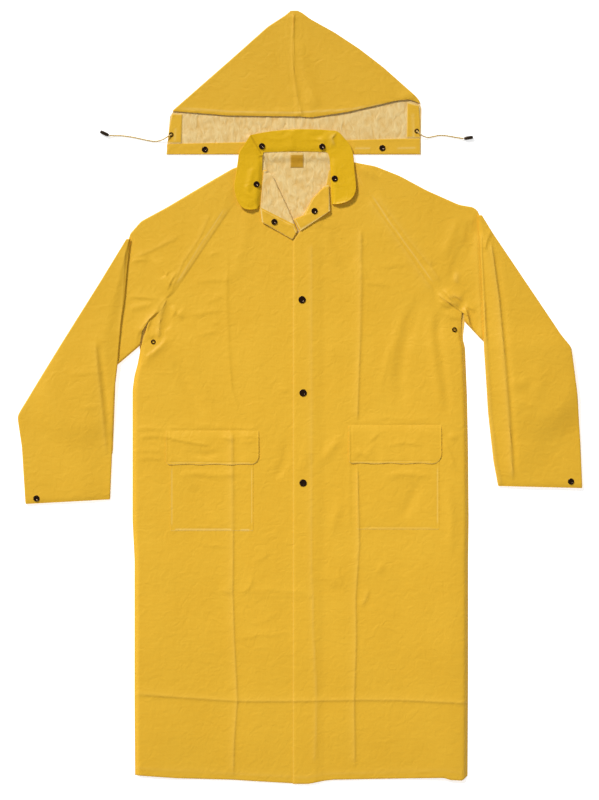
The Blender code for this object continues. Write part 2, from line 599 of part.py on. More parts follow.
def strip_grid(first, second, stations, shares):
    """XY of a strip between two edges, station by station."""
    return patch_between((first[0], second[0]), (first[-1], second[-1]), first, second, stations, shares)


def draped(x, y, polygon, height, drape):
    """Height of a layer that lies on a shape and comes down around it."""
    return height * (1 - smooth((outside(x, y, polygon) - drape.level) / drape.fall))


def sleeve(side):
    """A sleeve folded in: upper tube, hidden tuck and lower tube to the cuff."""
    upper_outline = SHOULDER[side] + UNDERARM[side][::-1]
    tuck_outline = TUCK_HIDDEN[side] + TUCK_SHOWN[side][::-1]

    def on_ground(x, y):
        return np.zeros(x.shape)

    def on_upper(x, y):
        return draped(x, y, upper_outline, UPPER_RISE, TUCK_DRAPE)

    def on_tuck(x, y):
        return (draped(x, y, upper_outline, UPPER_RISE, LOWER_DRAPE)
                + draped(x, y, tuck_outline, TUCK_RISE, LOWER_DRAPE))

    tuck = strip_grid(TUCK_HIDDEN[side], TUCK_SHOWN[side], TUCK_STATIONS, TUCK_COLUMNS)
    lower = strip_grid(LOWER_OUTER[side], LOWER_INNER[side], LOWER_STATIONS, LOWER_COLUMNS)
    tube("sleeve_%s_upper" % side, upper_grid(side), UPPER_COLUMNS[side], on_ground, SLEEVE_DEPTH, YELLOW)
    tube("sleeve_%s_tuck" % side, tuck, TUCK_COLUMNS, on_upper, TUCK_DEPTH, YELLOW)
    tube("sleeve_%s_lower" % side, lower, LOWER_COLUMNS, on_tuck, SLEEVE_DEPTH, YELLOW)


# ---- collar and hood ----------------------------------------------------------------------

def collar():
    """The collar, turned down at the sides and lying back behind the neck."""
    xy, z = [], []
    for s in COLLAR_SECTIONS:
        shares = np.array(COLLAR_SHARES)
        xy.append(np.column_stack([s.inner_x + shares * (s.outer_x - s.inner_x),
                                   s.inner_y + shares * (s.outer_y - s.inner_y)]))
        rest = np.where(shares > 0, COLLAR_BASE, s.inner_z)
        roll = 0.8 * np.array(COLLAR_ROLL) * (1 if s.inner_z < 4 else 0)
        z.append(rest + roll + s.lift * shares ** 1.5)
    return sheet("collar", np.array(xy), np.array(z), YELLOW, COLLAR)


def hood_panel(side):
    """One side of the hood: its front layer from the middle seam to the fold, then its back layer."""
    seam_gap = GAP / 2 * (-1 if side == "left" else 1)
    front_xy = patch_between((HOOD_SEAM[0], HOOD_FOLD[side][0]), FACE_EDGE[side], HOOD_SEAM, HOOD_FOLD[side],
                             HOOD_ROWS, HOOD_FRONT_SHARES)
    back_seam = run(HOOD_BACK_SEAM, HOOD_ROWS)
    front_xy[:, 0, 0] += seam_gap
    back_seam[:, 0] += seam_gap
    tips = front_xy[:, -1]
    edges = unit(np.gradient(tips, axis=0))
    radius = (HOOD_DEPTH + CLOTH) / 2
    spring = FACE_SPRING[side] * np.outer(np.array(HOOD_ROWS) ** 2, np.sin(np.pi * np.array(HOOD_FRONT_SHARES[:-1])))
    front_columns = len(HOOD_FRONT_SHARES) - 1 + len(QUARTER) + 1
    layers = []
    for skin_radius in (radius - CLOTH, radius):
        near, lift = radius - skin_radius * np.cos(QUARTER), skin_radius * np.sin(QUARTER)
        grid = []
        for k, tip in enumerate(tips):
            ahead = unit(front_xy[k, -2] - tip)
            behind = unit(back_seam[k] - tip)
            ahead_slant, behind_slant = slants(ahead, edges[k]), slants(behind, edges[k])
            length = np.hypot(*np.diff(front_xy[k], axis=0).T).sum()
            flat = run(front_xy[k], np.array(HOOD_FRONT_SHARES[:-1]) * (1 - radius / ahead_slant / length))
            turn = tip + ahead * (near[::-1] / ahead_slant)[:, None]
            back_turn = tip + behind * (near[1:] / behind_slant)[:, None]
            back_flat = run((back_turn[-1], back_seam[k]), HOOD_BACK_SHARES[1:])
            z = np.concatenate([skin_radius + spring[k], lift[::-1], -lift[1:], np.full(len(back_flat), -skin_radius)])
            grid.append(np.column_stack([np.concatenate([flat, turn, back_turn, back_flat]), z + radius]))
        for edge_point in HOOD_SIDE[side]:
            line = run((edge_point, (HOOD_BACK_SEAM[1].x + seam_gap, edge_point.y)), HOOD_BACK_SHARES)
            missing = np.repeat(line[:1], front_columns, axis=0)
            plan = np.concatenate([missing, line])
            grid.append(np.column_stack([plan, np.full(len(plan), radius - skin_radius)]))
        layers.append(np.array(grid))
    cells = np.ones((len(layers[0]) - 1, layers[0].shape[1] - 1), dtype=bool)
    cells[len(tips) - 1:, :front_columns] = False
    return wall("hood_" + side, layers[0], layers[1], YELLOW, cells=cells)


def hood_band():
    """The strip inside the hood's neck edge."""
    x = np.array([BAND[0].x, -185, -60, 60, 160, BAND[1].x], dtype=float)
    top = np.interp(x, [BAND[0].x, BAND[1].x], [BAND[0].y, BAND[1].y])
    xy = np.array([np.column_stack([x, np.full(len(x), BAND_FOOT)]), np.column_stack([x, top])])
    return sheet("hood_band", xy, np.full(xy.shape[:2], PITCH), YELLOW)


def hood_casing(side):
    """The drawstring hem beside the face."""
    outer, inner = CASING[side]
    shares = (0, 0.5, 1)
    xy = np.stack([run(outer, shares), (run(outer, shares) + run(inner, shares)) / 2, run(inner, shares)], axis=1)
    return sheet("hood_casing_" + side, xy, np.full(xy.shape[:2], PITCH), YELLOW)


# ---- snaps, eyelets and drawstring --------------------------------------------------------

def snap(name, x, y, z):
    """A snap cap: a low dome with a dimple in its middle."""
    r, h = SNAP_RADIUS, SNAP_HEIGHT
    disc(name, x, y, ((0, z), (r, z), (r, z + 0.4 * h), (0.75 * r, z + h), (0.4 * r, z + 0.85 * h),
                      (0, z + 0.65 * h)), BLACK)


def eyelet(name, x, y, z):
    """A pressed ring round a hole."""
    r, hole, h = EYELET_RADIUS, EYELET_HOLE, EYELET_HEIGHT
    disc(name, x, y, ((hole, z), (r, z), (r, z + 0.4 * h), (0.7 * r, z + h), (hole, z + 0.6 * h)), BRONZE)


CordRow = namedtuple("CordRow", "x y z")
CORD_ROUTES = {
    "left": (CordRow(-250.5, 510, 4.6), CordRow(-252.6, 508.6, 6.2), CordRow(-255.2, 506.8, 7.1),
             CordRow(-258.8, 504.5, 7.2), CordRow(-263, 502, 6.1), CordRow(-268.5, 499.6, 3.9),
             CordRow(-274.5, 498, 2.2), CordRow(-281, 497.3, 1.65), CordRow(-288, 497.6, 1.6),
             CordRow(-301, 500, 1.6), CordRow(-324, 505, 1.6), CordRow(-345, 508, 1.7),
             CordRow(-358, 508.3, 2.2), CordRow(-371, 508.4, 3.5)),
    "right": (CordRow(227, 517, 4.6), CordRow(228.7, 515.2, 6.2), CordRow(230.9, 513, 7.1),
              CordRow(234, 510.3, 7.2), CordRow(238, 507.6, 6.1), CordRow(243.5, 505.5, 3.9),
              CordRow(249.5, 505, 2.2), CordRow(256, 506, 1.65), CordRow(263, 507.5, 1.6),
              CordRow(272, 509, 1.6), CordRow(286, 508, 1.7), CordRow(303, 505, 2.2), CordRow(318, 502.5, 3.5)),
}
CORD_ENDS = {"left": (P(-371.8, 508.4), P(-388, 516)), "right": (P(318.8, 502.4), P(336, 505))}


def smooth_route(route, count):
    """Points on one smooth curve through a route's own points, evenly spaced."""
    knots = np.array(route, dtype=float)
    padded = np.concatenate([2 * knots[:1] - knots[1:2], knots, 2 * knots[-1:] - knots[-2:-1]])
    fine = []
    for a, b, c, d in zip(padded, padded[1:], padded[2:], padded[3:]):
        for t in np.arange(12) / 12:
            fine.append(0.5 * (2 * b + (c - a) * t + (2 * a - 5 * b + 4 * c - d) * t ** 2
                               + (3 * b - a - 3 * c + d) * t ** 3))
    fine = np.array(fine + [knots[-1]])
    length = np.concatenate([[0.0], np.cumsum(np.linalg.norm(np.diff(fine, axis=0), axis=1))])
    at = np.linspace(0.0, length[-1], count)
    return np.column_stack([np.interp(at, length, fine[:, k]) for k in range(3)])


def cord(side):
    """One free end of the drawstring, from its eyelet to its cord end."""
    points = smooth_route(CORD_ROUTES[side], CORD_POINTS)
    curve = bpy.data.curves.new("cord_" + side, "CURVE")
    curve.dimensions = "3D"
    curve.bevel_depth = CORD_DIAMETER / 2 * MM
    curve.bevel_resolution = 2
    curve.use_fill_caps = True
    spline = curve.splines.new("POLY")
    spline.points.add(len(points) - 1)
    for spot, point in zip(spline.points, points * MM):
        spot.co = (*point, 1.0)
    curve.materials.append(material(STRING))
    piece = bpy.data.objects.new("cord_" + side, curve)
    bpy.context.scene.collection.objects.link(piece)


def cord_end(side):
    """The moulded end on the drawstring: a short barrel lying on its side."""
    start, end = CORD_ENDS[side]
    radius = CORD_END_RADIUS
    low = 0.3
    length = math.hypot(end.x - start.x, end.y - start.y)
    along = ((0.0, 0.55), (0.12, 0.9), (0.3, 1.0), (0.7, 1.0), (0.88, 0.9), (1.0, 0.55))
    heading = np.array([(end.x - start.x) / length, (end.y - start.y) / length, 0.0])
    side_way = np.array([-heading[1], heading[0], 0.0])
    centre = np.array([start.x, start.y, radius + low])
    steps = 12
    shape = bmesh.new()
    loops = []
    for share, scale in along:
        middle = centre + heading * length * share
        loops.append([shape.verts.new(tuple((middle + radius * scale * (math.cos(a) * side_way + math.sin(a)
                      * np.array([0.0, 0.0, 1.0]))) * MM)) for a in np.arange(steps) * 2 * math.pi / steps])
    for low_loop, high_loop in zip(loops, loops[1:]):
        for k in range(steps):
            shape.faces.new((low_loop[k], low_loop[(k + 1) % steps], high_loop[(k + 1) % steps], high_loop[k]))
    shape.faces.new(loops[0])
    shape.faces.new(loops[-1])
    bmesh.ops.recalc_face_normals(shape, faces=shape.faces)
    mesh = bpy.data.meshes.new("cord_end_" + side)
    shape.to_mesh(mesh)
    shape.free()
    place("cord_end_" + side, mesh, DARK)


SNAP_PLACES = (
    SnapPlace("snap_front_1", 4, 189, FRONT_SNAP_Z), SnapPlace("snap_front_2", 6, 8, FRONT_SNAP_Z),
    SnapPlace("snap_front_3", 6, -167, FRONT_SNAP_Z),
    SnapPlace("snap_corner_left", -50, 340, 7.4), SnapPlace("snap_corner_right", 28, 361, 8.4),
    SnapPlace("snap_collar_1", -74, 487, 7.6), SnapPlace("snap_collar_2", -87, 413, 8.2),
    SnapPlace("snap_collar_3", 43, 486, 6.9), SnapPlace("snap_collar_4", 67.2, 424, 8.2),
    SnapPlace("snap_hood_1", -185, 481, HOOD_SNAP_Z), SnapPlace("snap_hood_2", -70, 491, HOOD_SNAP_Z),
    SnapPlace("snap_hood_3", 45, 491, HOOD_SNAP_Z), SnapPlace("snap_hood_4", 160, 484, HOOD_SNAP_Z),
    SnapPlace("snap_cuff_left", -512, -197, CUFF_SNAP_Z), SnapPlace("snap_cuff_right", 526, -164, CUFF_SNAP_Z),
)
EYELET_PLACES = (
    EyeletPlace("eyelet_hood_left", -250.5, 510, 2 * PITCH), EyeletPlace("eyelet_hood_right", 227, 517, 2 * PITCH),
)
VENTS = (("left", -285, 107), ("right", 300, 131))     # pressed through the fronts by the armpits


def clear_scene():
    """Start from an empty scene."""
    for thing in list(bpy.data.objects):
        bpy.data.objects.remove(thing, do_unlink=True)


def main():
    clear_scene()
    back()
    label()
    for side in ("left", "right"):
        front(side)
        facing(side)
        pocket(side)
        flap(side)
        sleeve(side)
        hood_panel(side)
        hood_casing(side)
        cord(side)
        cord_end(side)
    collar()
    hood_band()
    for spot in SNAP_PLACES:
        snap(*spot)
    for spot in EYELET_PLACES:
        eyelet(*spot)
    for side, x, y in VENTS:
        reach = x + np.array([-EYELET_RADIUS, 0.0, EYELET_RADIUS])
        z = max(front_top(side, reach, y + dy).max() for dy in (-EYELET_RADIUS, EYELET_RADIUS)) + GAP
        eyelet("eyelet_vent_" + side, x, y, z)


main()
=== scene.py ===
"""Hooded raincoat laid flat: the looks of its cloth, lining, welds, snaps and drawstring.

The coat lies on its back on the plane z = 0, hem towards -Y and hood towards +Y. Left and
right are as seen from above. Tables are in millimetres, meshes in metres.
"""
import logging
import math
from collections.abc import Callable
from dataclasses import dataclass, field
from enum import Enum
from typing import Any

import bpy
import numpy as np
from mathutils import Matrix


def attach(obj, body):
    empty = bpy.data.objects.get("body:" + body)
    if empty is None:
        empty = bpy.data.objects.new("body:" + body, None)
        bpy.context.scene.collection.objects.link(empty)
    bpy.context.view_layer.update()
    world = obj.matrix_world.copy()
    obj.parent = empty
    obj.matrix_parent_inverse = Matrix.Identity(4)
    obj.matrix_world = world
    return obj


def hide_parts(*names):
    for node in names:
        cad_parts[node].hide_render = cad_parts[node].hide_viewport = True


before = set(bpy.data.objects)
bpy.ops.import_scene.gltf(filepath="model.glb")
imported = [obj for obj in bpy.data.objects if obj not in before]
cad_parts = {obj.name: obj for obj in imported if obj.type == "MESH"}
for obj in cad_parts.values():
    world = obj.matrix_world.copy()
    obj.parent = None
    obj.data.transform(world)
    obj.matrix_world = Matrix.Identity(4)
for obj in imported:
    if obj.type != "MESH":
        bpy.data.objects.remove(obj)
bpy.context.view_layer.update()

LOG = logging.getLogger("raincoat")
MM = 0.001
CLOTH = 1.2                   # wall of the coated cloth
GAP = 0.3                     # air between two layers
PITCH = CLOTH + GAP           # from one layer to the next
SPACING = 3.0                 # between the columns of a panel
LOW_X, LOW_Y = -562, -766     # corner of the grid the relief is kept on
Run = tuple[tuple[float, float], ...]
Rise = Callable[[np.ndarray, np.ndarray], np.ndarray]     # height of what lies at a place


class Side(Enum):
    """Which half of the coat, as seen from above."""

    LEFT = "left"
    RIGHT = "right"

    @property
    def inward(self) -> int:
        """Sign of X from the side seam towards the middle."""
        return 1 if self is Side.LEFT else -1


def per_side(left: Any, right: Any) -> Any:
    """A dataclass field that holds one value for each side."""
    return field(default_factory=lambda: {Side.LEFT: left, Side.RIGHT: right})


# ---- numbers to shapes --------------------------------------------------------------------

def linear(code: str) -> tuple[float, float, float, float]:
    """An sRGB hex colour as linear RGBA.

    Args:
        code: six hex digits after a #.

    Returns:
        Each channel c is c / 12.92 below 0.04045 and ((c + 0.055) / 1.055) to the power 2.4 above.
    """
    parts = [int(code[k:k + 2], 16) / 255 for k in (1, 3, 5)]
    return (*(c / 12.92 if c <= 0.04045 else ((c + 0.055) / 1.055) ** 2.4 for c in parts), 1.0)


def eased(t: np.ndarray) -> np.ndarray:
    """Ease from 0 to 1: t squared times (3 - 2t), with t held between 0 and 1."""
    t = np.clip(t, 0.0, 1.0)
    return t * t * (3 - 2 * t)


def lengths(line: np.ndarray) -> np.ndarray:
    """Length along a run from its start to each of its points."""
    return np.concatenate([[0.0], np.cumsum(np.hypot(*np.diff(line, axis=0).T))])


def rounded(points: Run, reach: float = 9.0) -> np.ndarray:
    """A run of points with its corners rounded, a point every millimetre.

    Args:
        points: the run's corners.
        reach: half the width of the sliding mean, in mm.

    Returns:
        The run's points after a sliding mean, with the two ends kept in place by
        turning the run about each of them.
    """
    line = np.array(points, dtype=float)
    length = lengths(line)
    at = np.linspace(0.0, length[-1], max(int(length[-1]), 8))
    dense = np.column_stack([np.interp(at, length, line[:, k]) for k in (0, 1)])
    half = int(min(reach, len(dense) // 3))
    padded = np.concatenate([2 * dense[0] - dense[half:0:-1], dense, 2 * dense[-1] - dense[-2:-half - 2:-1]])
    window = np.hanning(2 * half + 3)[1:-1]
    return np.column_stack([np.convolve(padded[:, k], window / window.sum(), "valid") for k in (0, 1)])


def run_at(line: np.ndarray, shares: np.ndarray) -> np.ndarray:
    """Points of a dense run at shares of its length, one for each entry of an array of shares."""
    length = lengths(line)
    at = np.asarray(shares) * length[-1]
    return np.stack([np.interp(at, length, line[:, 0]), np.interp(at, length, line[:, 1])], axis=-1)


def x_at(points: Run, y: np.ndarray) -> np.ndarray:
    """X of a run at heights y; the run goes steadily up or down."""
    line = rounded(points)
    order = np.argsort(line[:, 1], kind="stable")
    return np.interp(y, line[order, 1], line[order, 0])


def spline(values: np.ndarray, at: np.ndarray) -> np.ndarray:
    """Values at fractional places along their first axis, on Catmull-Rom curves through them all.

    Args:
        values: the values that the curves go through.
        at: places along the first axis, counted in values.

    Returns:
        At a share t between b and c, with a before and d after them, half of 2b + (c - a) t
        + (2a - 5b + 4c - d) t squared + (3b - a - 3c + d) t cubed.
    """
    padded = np.concatenate([2 * values[:1] - values[1:2], values, 2 * values[-1:] - values[-2:-1]])
    first = np.clip(np.floor(at).astype(int), 0, len(values) - 2)
    t = (at - first).reshape(-1, *[1] * (values.ndim - 1))
    a, b, c, d = (padded[first + k] for k in range(4))
    return 0.5 * (2 * b + (c - a) * t + (2 * a - 5 * b + 4 * c - d) * t ** 2
                  + (3 * b - a - 3 * c + d) * t ** 3)


def refined(grid: np.ndarray, rows: int, cols: int) -> np.ndarray:
    """A control grid made dense: the same surface with rows by cols points, smooth both ways."""
    down = spline(grid, np.linspace(0, len(grid) - 1, rows)).swapaxes(0, 1)
    return spline(down, np.linspace(0, len(down) - 1, cols)).swapaxes(0, 1)


def coons(first: np.ndarray, last: np.ndarray, start: np.ndarray, end: np.ndarray,
          v: np.ndarray, u: np.ndarray) -> np.ndarray:
    """Patch filled in from its four edges.

    Args:
        first: run of the first row.
        last: run of the last row.
        start: run of the start column.
        end: run of the end column.
        v: share down the columns, a grid.
        u: share along the rows, a grid of the same shape.

    Returns:
        The sum of the two ruled surfaces between facing edges, less the bilinear one
        through the four corners.
    """
    top, foot, left, right = run_at(first, u), run_at(last, u), run_at(start, v), run_at(end, v)
    u, v = u[..., None], v[..., None]
    ruled = (1 - v) * top + v * foot + (1 - u) * left + u * right
    bilinear = (1 - v) * ((1 - u) * first[0] + u * first[-1]) + v * ((1 - u) * last[0] + u * last[-1])
    return ruled - bilinear


def unit(vectors: np.ndarray) -> np.ndarray:
    """Vectors made one long."""
    return vectors / np.maximum(np.linalg.norm(vectors, axis=-1, keepdims=True), 1e-9)


def slant(a: np.ndarray, b: np.ndarray) -> np.ndarray:
    """Sine of the angle between unit vectors, kept off nothing."""
    return np.maximum(np.abs(a[..., 0] * b[..., 1] - a[..., 1] * b[..., 0]), 0.3)


def outside(x: np.ndarray, y: np.ndarray, polygon: np.ndarray) -> np.ndarray:
    """Distance from each point to a polygon: the least to any edge, and 0 inside it."""
    nearest, inside = np.full(x.shape, np.inf), np.zeros(x.shape, dtype=bool)
    for (ax, ay), (bx, by) in zip(polygon, np.roll(polygon, -1, axis=0)):
        nearest = np.minimum(nearest, from_segment(x, y, ax, ay, bx, by)[0])
        if ay != by:
            inside ^= ((ay > y) != (by > y)) & (x < ax + (y - ay) * (bx - ax) / (by - ay))
    return np.where(inside, 0.0, nearest)


def from_segment(x: np.ndarray, y: np.ndarray, ax: float, ay: float, bx: float, by: float
                 ) -> tuple[np.ndarray, np.ndarray, np.ndarray]:
    """How far points lie from a segment.

    Args:
        x, y: the points.
        ax, ay: the segment's start.
        bx, by: the segment's end.

    Returns:
        The distance to it, its sign (above 0 on the left of the way) and the share along it.
    """
    dx, dy = bx - ax, by - ay
    t = np.clip(((x - ax) * dx + (y - ay) * dy) / max(dx * dx + dy * dy, 1e-9), 0.0, 1.0)
    away_x, away_y = x - ax - t * dx, y - ay - t * dy
    return np.hypot(away_x, away_y), np.sign(dx * away_y - dy * away_x), t


# ---- creases ------------------------------------------------------------------------------

class Form(Enum):
    """The section of a crease across its line."""

    RIDGE = "ridge"      # a pressed fold: sharp at its top
    ROLL = "roll"        # a soft round rise
    STEP = "step"        # one side higher than the other
    MARK = "mark"        # colour only


@dataclass(frozen=True)
class Crease:
    """A crease or mark on the cloth, in mm."""

    line: Run
    form: Form
    reach: float            # how wide it is
    lift: float             # how high, and below 0 for a trough
    pale: float = 0.0       # how pale its top is, from 0 to 1
    fade: float = 0.15      # share of its length over which each end fades out


RIDGE, ROLL, STEP_DOWN, MARK = Form

